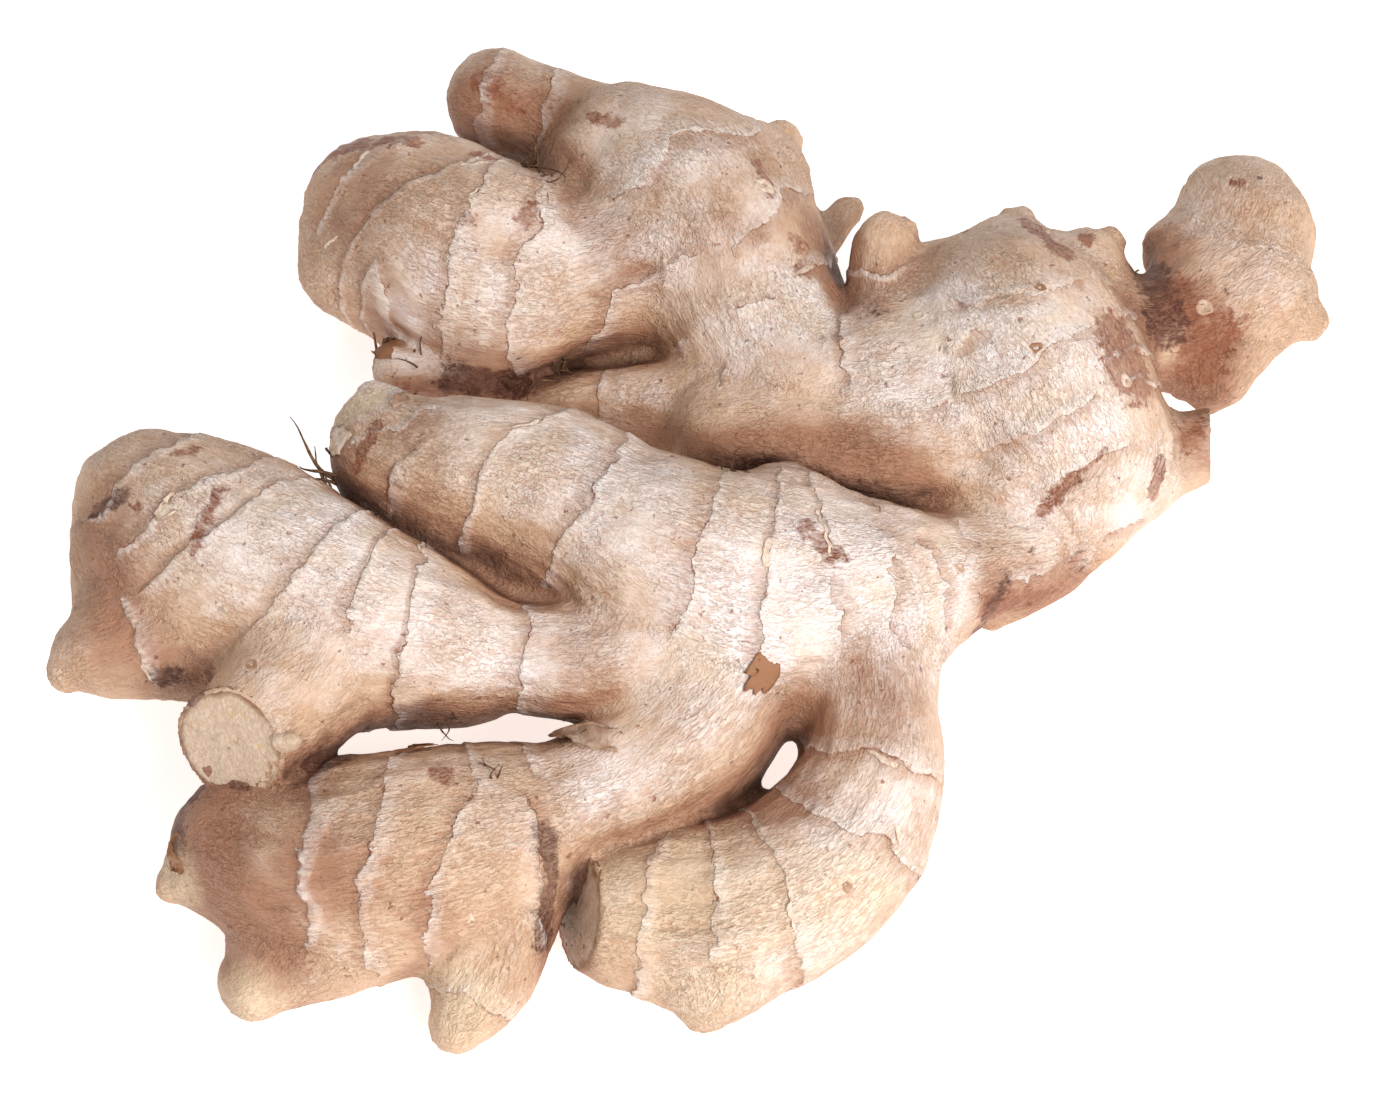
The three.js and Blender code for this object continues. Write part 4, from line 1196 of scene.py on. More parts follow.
@dataclass
class LooseScales:
    """The larger scales, laid on the skin one by one."""

    thickness: float = 0.07
    fray: float = 0.16  # share of a scale's length by which its edge is torn
    buried: float = 0.3  # depth of its root under the skin, mm
    climb: float = 0.38  # rise out of the skin over its first quarter, mm
    rows: int = 22
    columns: int = 17
    seed: int = 8

    def build(self, ground: Ground) -> Object:
        """Lays the scales. Args: ground: the finished skin. Returns: one object with them."""
        sheets = Sheets("loose_scales")
        ragged = Grain(self.seed)
        for number, scale in enumerate(SCALES):
            self.lay(sheets, scale, number, ground, ragged)
        LOG.info("loose scales: %d", len(SCALES))
        return sheets.build()

    def lay(self, sheets: Sheets, scale: Scale, number: int, ground: Ground, ragged: Grain) -> None:
        """Lays one scale: fixed along its root, free and ragged at its tip and sides."""
        root, tip = np.array(scale.root, float), np.array(scale.tip, float)
        _, normal, _, _ = ground.under((root + tip) / 2)
        ahead = tip - root
        across = unit(np.cross(ahead, normal)) * scale.width
        top = np.empty((self.rows, self.columns, 3))
        down = np.empty_like(top)
        lip = np.empty((self.rows, self.columns))
        for i in range(self.rows):
            u = i / (self.rows - 1)
            taper = math.sin(math.pi * (0.2 + 0.62 * u)) ** 0.6
            for j in range(self.columns):
                v = 2 * j / (self.columns - 1) - 1
                torn = ragged.layered(np.array([[u * 4, v * 3, number * 5.3]]))
                fray = self.fray * float(torn[0])
                reach = u * (1 - scale.crop * v * v) + fray * u
                spot, skin_normal, _, _ = ground.under(
                    root + ahead * reach + across * (0.5 * v * taper * (1 + 1.5 * fray)))
                height = (-self.buried + self.climb * min(1, u * 4) + scale.lift * u**2
                          + scale.curl * u * v * v)
                top[i, j] = spot + skin_normal * height
                down[i, j] = -self.thickness * skin_normal
                lip[i, j] = max(u, abs(v) ** 3)
        sheets.add(top, down, lip, scale.tint)


@dataclass(frozen=True)
class Tuft:
    """A tuft of dry hair roots: where it grows, which way, and how many and how long."""

    place: Point
    aim: Point
    count: int
    length: float
    girth: float = 0.16
    curl: float = 1.0


TUFTS: tuple[Tuft, ...] = (
    Tuft((-23.5, 60.0, 26.0), (0.0, -0.7, 0.7), 12, 9.5, 0.2),
    Tuft((-22.0, 56.0, 26.5), (0.1, -0.8, 0.3), 7, 6.5, 0.18),
    Tuft((-17.7, 31.4, 15.0), (-0.6, 0.3, 0.3), 9, 7.5),
    Tuft((-26.0, 31.5, 14.0), (-0.3, 0.5, 0.3), 6, 6.0),
    Tuft((-49.5, 9.5, 24.0), (-1.6, 0.7, 0.3), 3, 11.0, 0.28, 0.5),
    Tuft((-49.5, 11.0, 24.0), (-0.7, 1.4, 0.4), 2, 8.0, 0.26, 0.5),
    Tuft((-47.5, 6.0, 22.0), (-0.8, 0.2, 0.1), 5, 6.0, 0.22),
    Tuft((-38.0, 33.5, 16.0), (-0.3, 0.4, 0.5), 5, 5.0),
    Tuft((-33.0, -24.5, 22.0), (0.5, -0.8, 0.1), 5, 4.0),
    Tuft((-13.0, -26.0, 20.0), (0.2, -0.7, 0.3), 5, 4.0),
    Tuft((6.0, 3.0, 27.0), (-0.6, 0.6, 0.2), 8, 5.0),
    Tuft((-27.0, -36.0, 27.0), (-0.8, 0.4, 0.2), 4, 4.0),
    Tuft((60.0, 46.0, 16.0), (-0.2, 0.8, 0.3), 4, 3.5),
)


@dataclass
class HairRoots:
    """Thin dry roots in the creases between the fingers."""

    sides: int = 6
    rings: int = 13
    scatter: float = 1.3  # how far from its tuft's place a root may grow, mm
    buried: float = 0.4  # depth of its foot under the skin, mm
    outward: float = 0.7  # pull away from the skin, beside the tuft's own aim
    spread: float = 0.45  # how far the headings in a tuft differ
    bend: float = 0.22  # a root's first bend
    sway: float = 0.13  # change of its bend at each ring
    settle: float = 0.75  # share of its bend that it keeps from ring to ring
    taper: float = 0.8  # share of its girth that it loses towards its tip
    seed: int = 21

    def build(self, ground: Ground) -> Object:
        """Grows the tufts. Args: ground: the finished skin. Returns: one object."""
        rng = np.random.default_rng(self.seed)
        points: list[Array] = []
        faces: list[Array] = []
        count = 0
        for tuft in TUFTS:
            for _ in range(tuft.count):
                tube, quads = self.root(tuft, ground, rng)
                points.append(tube)
                faces.append(quads + count)
                count += len(tube)
        mesh = make_mesh("hair_roots", to_frame(np.concatenate(points)), np.concatenate(faces))
        LOG.info("hair roots: %d", sum(tuft.count for tuft in TUFTS))
        return place_object(mesh)

    def root(self, tuft: Tuft, ground: Ground, rng: np.random.Generator) -> tuple[Array, Array]:
        """Grows one root.

        Args:
            tuft: the tuft that it belongs to.
            ground: the finished skin.
            rng: the seeded draw.

        Returns:
            The root's vertices and its faces.
        """
        spot, normal, _, _ = ground.under(np.array(tuft.place) + rng.normal(0, self.scatter, 3))
        heading = unit(unit(np.array(tuft.aim)) + self.outward * normal
                       + rng.normal(0, self.spread * tuft.curl, 3))
        length = tuft.length * rng.uniform(0.45, 1.15)
        bend = rng.normal(0, self.bend * tuft.curl, 3)
        here = spot - self.buried * normal
        centres, headings = [], []
        for _ in range(self.rings):
            centres.append(here)
            headings.append(heading)
            bend = self.settle * bend + rng.normal(0, self.sway * tuft.curl, 3)
            heading = unit(heading + bend)
            here = here + heading * length / (self.rings - 1)
        ring = np.arange(self.sides) * 2 * math.pi / self.sides
        rows = []
        for i, (centre, way) in enumerate(zip(centres, headings)):
            first = unit(np.cross(way, np.array([0.31, 0.52, 0.79])))
            second = np.cross(way, first)
            share = i / (self.rings - 1)
            girth = tuft.girth * (1 - self.taper * share**1.5) * rng.uniform(0.85, 1.15)
            rows.append(centre + girth * (np.cos(ring)[:, None] * first
                                          + np.sin(ring)[:, None] * second))
        vertices = np.concatenate(rows)
        index = np.arange(len(vertices)).reshape(self.rings, self.sides)
        turned = np.roll(index, -1, axis=1)
        walls = np.stack([index[:-1], turned[:-1], turned[1:], index[1:]], -1).reshape(-1, 4)
        ends = np.concatenate([end_faces(index[0])[:, ::-1], end_faces(index[-1])])
        return vertices, np.concatenate([walls, ends])


@dataclass
class RootScars:
    """Small round scars where thick roots broke off: a raised ring round a pit."""

    places: tuple[tuple[float, float, float, float], ...] = (
        (42.7, 30.5, 36.6, 1.0), (30.3, 30.9, 31.6, 0.9), (46.4, 32.3, 36.4, 0.7),
        (45.5, 23.0, 36.0, 0.7), (52.0, 15.5, 31.0, 0.75), (9.4, 52.9, 31.5, 1.3),
        (-58.0, -24.0, 34.0, 0.7), (3.5, 24.0, 24.0, 0.8), (57.5, 21.5, 30.0, 0.8),
        (-12.5, 52.0, 29.0, 0.7), (62.0, 18.0, 20.0, 0.9), (35.5, -6.0, 28.0, 0.7),
        (71.0, 40.0, 21.0, 0.9), (-30.0, -52.5, 20.0, 0.6), (20.0, -51.0, 22.0, 0.6),
    )
    profile: tuple[tuple[float, float], ...] = (
        (0.0, -0.02), (0.30, 0.0), (0.55, 0.06), (0.75, 0.13), (0.95, 0.12), (1.15, 0.03),
        (1.45, -0.12),
    )
    sides: int = 22
    thickness: float = 0.12
    brown: tuple[float, float] = (0.2, 0.7)  # least and most brown
    seed: int = 31

    def build(self, ground: Ground) -> Object:
        """Lays the scars. Args: ground: the finished skin. Returns: one object with them."""
        sheets = Sheets("root_scars")
        rng = np.random.default_rng(self.seed)
        for x, y, z, radius in self.places:
            _, normal, _, _ = ground.under(np.array([x, y, z]))
            first = unit(np.cross(normal, np.array([0.2, 0.9, 0.1])))
            second = np.cross(normal, first)
            phase, squash = rng.uniform(0, 6.28), rng.uniform(0.75, 1.0)
            top = np.empty((len(self.profile), self.sides + 1, 3))
            down = np.empty_like(top)
            for j in range(self.sides + 1):
                angle = 2 * math.pi * (j % self.sides) / self.sides
                wobble = 1 + 0.09 * math.sin(3 * angle + phase) + 0.06 * math.sin(5 * angle)
                for i, (reach, height) in enumerate(self.profile):
                    out = max(reach, 0.02) * radius * wobble
                    spot, way, _, _ = ground.under(
                        np.array([x, y, z]) + out * (math.cos(angle) * first
                                                     + squash * math.sin(angle) * second))
                    top[i, j] = spot + way * height * min(radius, 1.0)
                    down[i, j] = -self.thickness * way
            reaches = np.array([reach for reach, _ in self.profile])
            lip = np.repeat(reaches[:, None] / reaches[-1], self.sides + 1, 1)
            sheets.add(top, down, 0.6 * lip, float(rng.uniform(*self.brown)))
        return sheets.build()


@dataclass
class CutFaces:
    """The bare flesh of the two cut fingers, inside a rim of skin."""

    rings: int = 26
    sides: int = 96
    inset: float = 0.35  # breadth of the rim of skin left round the flesh, mm
    thinnest: float = 6.0  # radius of the thinnest limb that shows its flesh, mm
    sunk: float = 0.5  # thickness of the flesh's sheet, mm
    proud: float = 0.12  # mean height of the flesh over the cut, mm
    rough: float = 0.16  # height of its fibres, mm
    rolled: float = 0.35  # drop towards its rim, mm
    seed: int = 41

    def build(self, hand: Hand) -> Object:
        """Makes the faces.

        Args:
            hand: the limbs, of which the cut ones get a face.

        Returns:
            One object with all the faces.
        """
        sheets = Sheets("cut_flesh")
        fibres = Grain(self.seed)
        for line in hand.lines:
            if line.limb.cut and line.radius[-1] > self.thinnest:
                self.face(sheets, line, fibres)
        LOG.info("cut faces: %d points", sheets.count)
        return sheets.build()

    def face(self, sheets: Sheets, line: Centreline, fibres: Grain) -> None:
        """Adds one face, drawn out to the skin of its own limb."""
        normal = line.cut_normal()
        first = unit(np.cross(normal, np.array([0.0, 0.0, 1.0])))
        second = np.cross(normal, first)
        angles = np.linspace(0, 2 * math.pi, self.sides + 1)
        ways = np.cos(angles)[:, None] * first + np.sin(angles)[:, None] * second
        steps = np.arange(2.0, 1.5 * line.radius[-1], 0.1)
        inside = line.points[-1] - self.sunk * normal
        probes = inside + steps[:, None, None] * ways[None]
        depth = line.read(probes.reshape(-1, 3)).depth.reshape(len(steps), -1)
        out = steps[np.argmax(depth > -self.inset, axis=0)]
        out[-1] = out[0]
        share = np.linspace(0, 1, self.rings) ** 0.8
        flat = line.points[-1] + (share[:, None] * out[None])[..., None] * ways[None]
        place = flat.reshape(-1, 3)
        grain = fibres.layered(place * 0.5, 3).reshape(self.rings, -1)
        grain[0] = grain[0, 0]
        grain[:, -1] = grain[:, 0]
        height = (self.proud + self.rough * grain
                  - self.rolled * smooth_step(share, 0.9, 1.0)[:, None])
        top = flat + height[..., None] * normal
        down = np.broadcast_to(-self.sunk * normal, top.shape)
        lip = np.repeat(share[:, None], self.sides + 1, 1)
        sheets.add(top, down, lip, 0.0 if line.limb.kin is Kin.CLUB else 1.0)


@dataclass
class StubLump:
    """A pale lump of dried sap on the cut stub."""

    place: Point = (-53.4, -33.6, 30.6)
    reach: Point = (2.0, 1.3, 1.5)
    lumps: float = 0.35
    rows: int = 9
    columns: int = 16
    seed: int = 51

    def build(self) -> Object:
        """Returns the lump: a ball of rows and columns, swelled unevenly."""
        rough = Grain(self.seed)
        points = []
        for i in range(self.rows):
            tilt = math.pi * (i + 0.5) / self.rows
            for j in range(self.columns):
                turn = 2 * math.pi * j / self.columns
                way = np.array([math.sin(tilt) * math.cos(turn), math.sin(tilt) * math.sin(turn),
                                math.cos(tilt)])
                swell = 1 + self.lumps * float(rough.layered(way[None] * 1.3 + 3, 2)[0])
                points.append(np.array(self.place) + way * np.array(self.reach) * swell)
        index = np.arange(len(points)).reshape(self.rows, self.columns)
        turned = np.roll(index, -1, axis=1)
        walls = np.stack([index[:-1], index[1:], turned[1:], turned[:-1]], -1).reshape(-1, 4)
        ends = np.concatenate([end_faces(index[0]), end_faces(index[-1])[:, ::-1]])
        mesh = make_mesh("stub_lump", to_frame(np.array(points)), np.concatenate([walls, ends]))
        write_attribute(mesh, "leaf", np.zeros((len(points), 3)))
        return place_object(mesh)


def tone(red: int, green: int, blue: int) -> Colour:
    """Returns a colour given as it looks, 0 to 255, in the linear values that nodes take."""
    return tuple(((c / 255 + 0.055) / 1.055) ** 2.4 if c > 10 else c / 3294.6
                 for c in (red, green, blue)) + (1.0,)


class Bench:
    """Lays out one node tree, a node at a time."""

    def __init__(self, tree: NodeTree) -> None:
        """Keeps the tree. Args: tree: the material's or the group's nodes."""
        self.tree = tree

    def add(self, kind: str, inputs: dict | None = None, **settings: object) -> Node:
        """Adds a node.

        Args:
            kind: the node's type.
            inputs: what goes on its sockets: other sockets, or plain values.
            settings: its options.

        Returns:
            The node.
        """
        node = self.tree.nodes.new(kind)
        for name, value in settings.items():
            setattr(node, name, value)
        for key, value in (inputs or {}).items():
            self.feed(node.inputs[key], value)
        return node

    def feed(self, socket: Socket, value: object) -> None:
        """Gives an input what goes on it: another socket, or a plain value."""
        if isinstance(value, Socket):
            self.tree.links.new(value, socket)
        else:
            socket.default_value = value

    def math(self, operation: str, *values: object) -> Socket:
        """Returns the result of a sum on numbers."""
        return self.add("ShaderNodeMath", dict(enumerate(values)), operation=operation).outputs[0]

    def times(self, first: object, second: object) -> Socket:
        """Returns the product of two numbers."""
        return self.math("MULTIPLY", first, second)

    def plus(self, first: object, second: object) -> Socket:
        """Returns the sum of two numbers."""
        return self.math("ADD", first, second)

    def less(self, first: object, second: object) -> Socket:
        """Returns the first number less the second."""
        return self.math("SUBTRACT", first, second)

    def rest(self, share: object) -> Socket:
        """Returns what a share leaves of 1."""
        return self.less(1.0, share)

    def fused(self, value: object, factor: object, extra: object) -> Socket:
        """Returns a number times a factor, plus an extra."""
        return self.math("MULTIPLY_ADD", value, factor, extra)

    def vector(self, operation: str, *values: object) -> Socket:
        """Returns the result of a sum on vectors."""
        return self.add("ShaderNodeVectorMath", dict(enumerate(values)),
                        operation=operation).outputs[0]

    def rise(self, value: object, low: object, high: object) -> Socket:
        """Returns a smooth rise from 0 at low to 1 at high."""
        return self.add("ShaderNodeMapRange", {"Value": value, "From Min": low, "From Max": high},
                        interpolation_type="SMOOTHSTEP").outputs["Result"]

    def mix(self, share: object, first: object, second: object, blend: str = "MIX") -> Socket:
        """Returns a mix of two colours."""
        return self.add("ShaderNodeMix", {0: share, 6: first, 7: second}, data_type="RGBA",
                        blend_type=blend).outputs[2]

    def tinted(self, colour: object, mask: object, share: float, other: object,
               blend: str = "MIX") -> Socket:
        """Returns a colour mixed towards another by a share of a mask."""
        return self.mix(self.times(mask, share), colour, other, blend)

    def noise(self, place: object, scale: object, detail: float = 2.0, rough: float = 0.5,
              swirl: float = 0.0) -> Socket:
        """Returns soft noise read at a place."""
        return self.add("ShaderNodeTexNoise", {"Vector": place, "Scale": scale, "Detail": detail,
                                               "Roughness": rough, "Distortion": swirl}
                        ).outputs["Fac"]

    def stored(self, name: str) -> Socket:
        """Returns the vector stored on the mesh under a name."""
        return self.add("ShaderNodeAttribute", attribute_name=name).outputs["Vector"]

    def attribute(self, name: str) -> list[Socket]:
        """Returns the three numbers stored on the mesh under a name."""
        return list(self.add("ShaderNodeSeparateXYZ", {0: self.stored(name)}).outputs)

    def joined(self, x: object, y: object, z: object) -> Socket:
        """Returns the vector of three numbers."""
        return self.add("ShaderNodeCombineXYZ", {0: x, 1: y, 2: z}).outputs[0]

    def place(self) -> Socket:
        """Returns the place on the object, in mm."""
        spot = self.add("ShaderNodeTexCoord").outputs["Object"]
        return self.add("ShaderNodeVectorMath", {0: spot, "Scale": 1 / MM},
                        operation="SCALE").outputs[0]

    def group(self, tree: NodeTree, **inputs: object) -> Node:
        """Places a shared effect with its own values."""
        node = self.add("ShaderNodeGroup", node_tree=tree)
        for key, value in inputs.items():
            self.feed(node.inputs[key.capitalize()], value)
        return node


class Effect:
    """A shared effect: a node group with named inputs and outputs."""

    def __init__(self, name: str, inputs: dict[str, float], outputs: tuple[str, ...]) -> None:
        """Makes the empty group.

        Args:
            name: the group's name.
            inputs: its inputs with their first values.
            outputs: the names of its outputs.
        """
        self.tree = bpy.data.node_groups.new(name, "ShaderNodeTree")
        for key, value in inputs.items():
            socket = self.tree.interface.new_socket(key, in_out="INPUT",
                                                    socket_type="NodeSocketFloat")
            socket.default_value = value
        for key in outputs:
            self.tree.interface.new_socket(key, in_out="OUTPUT", socket_type="NodeSocketFloat")
        self.bench = Bench(self.tree)
        self.given = self.bench.add("NodeGroupInput").outputs
        self.result = self.bench.add("NodeGroupOutput").inputs

    def put(self, name: str, value: Socket) -> None:
        """Links a value to an output."""
        self.tree.links.new(value, self.result[name])


class Effects:
    """The effects that more than one finish uses."""

    def __init__(self) -> None:
        """Builds every group once."""
        self.crinkle = self.build_crinkle()
        self.scar_line = self.build_scar_line()
        self.patch = self.build_patch()
        self.fibre = self.build_fibre()

    @staticmethod
    def build_crinkle() -> NodeTree:
        """Makes the fine wrinkles of dried skin, drawn out along the limb."""
        effect = Effect("dried crinkle", {"Pitch": 0.7, "Stretch": 2.0, "Border": 0.0},
                        ("Height", "Ridge"))
        bench, given = effect.bench, effect.given
        grain = bench.stored("grain")
        fine = bench.math("DIVIDE", 1.0, given["Pitch"])
        drawn = bench.math("DIVIDE", fine, given["Stretch"])
        pull = bench.vector("MULTIPLY", grain, bench.joined(drawn, fine, fine))
        along = bench.noise(pull, 1.0, 2.5, 0.6, 0.9)
        even = bench.vector("MULTIPLY", bench.place(), bench.joined(fine, fine, fine))
        round_about = bench.noise(even, 0.8, 2.5, 0.6, 1.1)
        split = bench.math("MAXIMUM", given["Border"], 0.2)
        waves = bench.add("ShaderNodeMix", {0: split, 2: along, 3: round_about}).outputs[0]
        calm = bench.rise(bench.noise(bench.place(), 0.09), 0.3, 0.62)
        depth = bench.fused(calm, 0.6, 0.4)
        ridge = bench.rise(waves, 0.32, 0.64)
        trough = bench.rest(bench.rise(waves, 0.33, 0.56))
        effect.put("Height", bench.times(ridge, depth))
        effect.put("Ridge", bench.rest(bench.times(trough, depth)))
        return effect.tree

    @staticmethod
    def build_scar_line() -> NodeTree:
        """Makes a leaf scar: its thin broken line, pale pleats and painted light before it, painted
        shade past it.
        """
        effect = Effect("leaf scar", {"Width": 0.2, "Fringe": 1.5},
                        ("Line", "Fringe", "Lit_rise", "Shade", "Height"))
        bench, given = effect.bench, effect.given
        signed, mark, _ = bench.attribute("scar")
        place = bench.place()
        jag = bench.less(bench.noise(place, 0.9, 3.0, 0.65), 0.5)
        across = bench.fused(jag, 1.6, signed)
        near = bench.rise(mark, 0.1, 0.55)
        gap = bench.math("ABSOLUTE", across)
        wavering = bench.fused(bench.noise(place, 0.5), 2.4, -0.3)
        varied = bench.times(given["Width"], wavering)
        thin = bench.rest(bench.rise(gap, bench.times(varied, 0.2), varied))
        broken = bench.rise(bench.noise(place, 0.3, 3.0, 0.6), 0.48, 0.62)
        broken = bench.math("MAXIMUM", broken, bench.rise(mark, 1.05, 1.5))
        effect.put("Line", bench.times(bench.times(thin, near), broken))
        back = bench.rise(across, bench.times(given["Fringe"], -1.0), -0.3)
        front = bench.rest(bench.rise(across, -0.2, 0.05))
        grain = bench.stored("grain")
        pleat = bench.noise(bench.vector("MULTIPLY", grain, (0.35, 2.0, 2.0)), 1.0, 2.0, 0.5, 0.3)
        patchy = bench.rise(bench.noise(place, 0.2), 0.38, 0.6)
        band = bench.times(bench.times(back, front), near)
        pleated = bench.rise(pleat, 0.34, 0.6)
        effect.put("Fringe", bench.times(bench.times(band, patchy), pleated))
        # Painted light: the skin pales over the rise before the scar's step.
        climb = bench.times(bench.rise(across, -5.0, -0.2), front)
        effect.put("Lit_rise", bench.times(climb, near))
        # Painted shade: the skin darkens just past the step.
        past = bench.rest(bench.rise(across, 0.1, 3.2))
        past = bench.times(past, bench.rest(front))
        effect.put("Shade", bench.times(past, near))
        step = bench.times(bench.times(front, near), 0.04)
        fold = bench.times(bench.times(band, pleat), 0.3)
        effect.put("Height", bench.plus(step, fold))
        return effect.tree

    @staticmethod
    def build_patch() -> NodeTree:
        """Turns a soft mark into a patch with a ragged edge."""
        effect = Effect("ragged patch", {"Mark": 0.0, "Ragged": 0.6, "Scale": 0.5, "Sharp": 0.08},
                        ("Mask",))
        bench, given = effect.bench, effect.given
        noise = bench.noise(bench.place(), given["Scale"], 4.0, 0.62)
        rough = bench.times(bench.less(noise, 0.5), given["Ragged"])
        level = bench.fused(rough, 2.0, given["Mark"])
        low = bench.less(0.5, given["Sharp"])
        high = bench.plus(0.5, given["Sharp"])
        effect.put("Mask", bench.rise(level, low, high))
        return effect.tree

    @staticmethod
    def build_fibre() -> NodeTree:
        """Makes the short torn fibres of flesh and of dry leaf."""
        effect = Effect("torn fibre", {"Pitch": 0.5, "Stretch": 3.0}, ("Height", "Strand"))
        bench, given = effect.bench, effect.given
        fine = bench.math("DIVIDE", 1.0, given["Pitch"])
        drawn = bench.math("DIVIDE", fine, given["Stretch"])
        pull = bench.vector("MULTIPLY", bench.place(), bench.joined(fine, drawn, drawn))
        strands = bench.noise(pull, 1.0, 4.0, 0.6, 0.8)
        effect.put("Height", strands)
        effect.put("Strand", bench.rise(strands, 0.38, 0.66))
        return effect.tree


def new_material(name: str) -> tuple[Material, Bench, Node]:
    """Makes an empty material.

    Args:
        name: the material's name.

    Returns:
        The material, its bench and its main shader.
    """
    material = bpy.data.materials.new(name)
    material.use_nodes = True
    bench = Bench(material.node_tree)
    shader = material.node_tree.nodes["Principled BSDF"]
    return material, bench, shader


def finish_shader(bench: Bench, shader: Node, colour: object, rough: object,
                  height: object, specular: float) -> None:
    """Sets the main shader: colour, roughness, and relief from a height in mm."""
    bump = bench.add("ShaderNodeBump", {"Height": height, "Strength": 1.0, "Distance": MM})
    for name, value in (("Base Color", colour), ("Roughness", rough),
                        ("Specular IOR Level", specular), ("Normal", bump.outputs[0])):
        bench.feed(shader.inputs[name], value)


@dataclass(frozen=True)
class SkinFinish:
    """Dry ginger skin: tan and crinkled, paler on top by painted light, brown in hollows by painted
    shade.
    """

    tan: Colour = tone(206, 170, 140)
    pale: Colour = tone(243, 230, 225)
    cream: Colour = tone(232, 211, 192)
    furrow: Colour = tone(204, 152, 112)
    warm: Colour = tone(168, 122, 95)
    # colour of the painted shade deep in the creases
    crease: Colour = tone(88, 56, 40)
    rust: Colour = tone(138, 78, 50)
    bruise: Colour = tone(86, 46, 32)
    line: Colour = tone(144, 84, 54)
    fringe: Colour = tone(240, 228, 218)
    butter: Colour = tone(232, 207, 174)
    lit_rise_share: float = 0.18  # strength of each shade where its mask is whole
    shade_share: float = 0.4
    speck_share: float = 0.65
    butter_share: float = 0.7
    furrow_share: float = 0.55
    fringe_share: float = 0.5
    line_share: float = 0.85
    roughness: float = 0.6
    specular: float = 0.4
    crinkle: float = 0.20  # height of the wrinkles, mm
    fold: float = 0.2  # height of the folds between them, mm

    def build(self, effects: Effects) -> Material:
        """Makes the material. Args: effects: the shared groups. Returns: the material."""
        material, bench, shader = new_material("ginger skin")
        _, _, border = bench.attribute("scar")
        crevice_shade, bloom_and_light, butter = bench.attribute("tone")
        warm, rust, bruise = bench.attribute("stain")
        place = bench.place()
        crinkle = bench.group(effects.crinkle, pitch=0.42, stretch=2.4, border=border)
        folds = bench.group(effects.crinkle, pitch=1.3, stretch=2.6, border=border)
        scar = bench.group(effects.scar_line, width=0.2, fringe=1.6)
        broad = bench.noise(place, 0.05, 3.0, 0.55)
        drift = bench.noise(bench.vector("ADD", place, (31.0, 17.0, 5.0)), 0.11, 3.0, 0.6)
        fine = bench.noise(place, 0.4, 4.0, 0.62)
        # Painted light: skin that faces up is paler and less brown.
        up = bench.add("ShaderNodeSeparateXYZ",
                       {0: bench.add("ShaderNodeNewGeometry").outputs["Normal"]}).outputs[2]
        lit = bench.rise(up, -0.25, 1.0)
        pale_and_lit = bench.fused(bloom_and_light, 0.85, bench.times(lit, 0.45))
        pale_and_lit = bench.fused(broad, 1.0, bench.less(pale_and_lit, 0.58))
        pale_and_lit = bench.fused(fine, 0.8, bench.less(pale_and_lit, 0.4))
        # Painted shade: skin in creases loses its paleness.
        pale_and_lit = bench.less(pale_and_lit, bench.times(crevice_shade, 1.6))
        cream = bench.mix(bench.rise(drift, 0.36, 0.7), self.pale, self.cream)
        colour = bench.mix(bench.rise(pale_and_lit, 0.0, 1.15), self.tan, cream)
        # Brown from the soft brown spots and drift, with painted shade in creases and less brown
        # where the skin faces up.
        shade = bench.fused(crevice_shade, 1.5, bench.times(warm, 1.1))
        shade = bench.fused(drift, 1.1, bench.less(shade, 0.65))
        shade = bench.less(shade, bench.times(lit, 0.2))
        colour = bench.mix(bench.rise(shade, 0.0, 0.95), colour, self.warm)
        # Painted light before each scar's step and painted shade past it.
        colour = bench.tinted(colour, scar.outputs["Lit_rise"], self.lit_rise_share, self.pale)
        colour = bench.tinted(colour, scar.outputs["Shade"], self.shade_share, self.warm)
        speck = bench.rise(bench.noise(place, 0.8, 2.0, 0.55), 0.67, 0.73)
        colour = bench.tinted(colour, speck, self.speck_share, self.rust)
        young = bench.rise(bench.fused(fine, 0.4, butter), 0.3, 1.1)
        colour = bench.tinted(colour, young, self.butter_share, self.butter)
        trough = bench.rest(crinkle.outputs["Ridge"])
        colour = bench.tinted(colour, trough, self.furrow_share, self.furrow, "MULTIPLY")
        # Painted shade: deep creases turn dark brown.
        crease_shade_mask = bench.fused(bench.less(fine, 0.5), 0.6, crevice_shade)
        colour = bench.mix(bench.rise(crease_shade_mask, 0.5, 1.05), colour, self.crease)
        streak = bench.fused(crinkle.outputs["Ridge"], -0.45, 0.65)
        streak = bench.fused(fine, 0.9, streak)
        patch = bench.group(effects.patch, mark=rust, ragged=0.9, scale=0.8, sharp=0.2)
        colour = bench.mix(bench.times(patch.outputs["Mask"], streak), colour, self.rust)
        # Dark patches: the skin's own marks and painted shade in slits.
        dark = bench.group(effects.patch, mark=bruise, ragged=0.8, scale=0.8, sharp=0.22)
        colour = bench.mix(bench.times(dark.outputs["Mask"], streak), colour, self.bruise)
        colour = bench.tinted(colour, scar.outputs["Fringe"], self.fringe_share, self.fringe)
        colour = bench.tinted(colour, scar.outputs["Line"], self.line_share, self.line)
        height = bench.times(crinkle.outputs["Height"], self.crinkle)
        height = bench.fused(folds.outputs["Height"], self.fold, height)
        height = bench.plus(height, scar.outputs["Height"])
        rough = bench.fused(fine, 0.25, self.roughness - 0.12)
        finish_shader(bench, shader, colour, rough, height, self.specular)
        return material


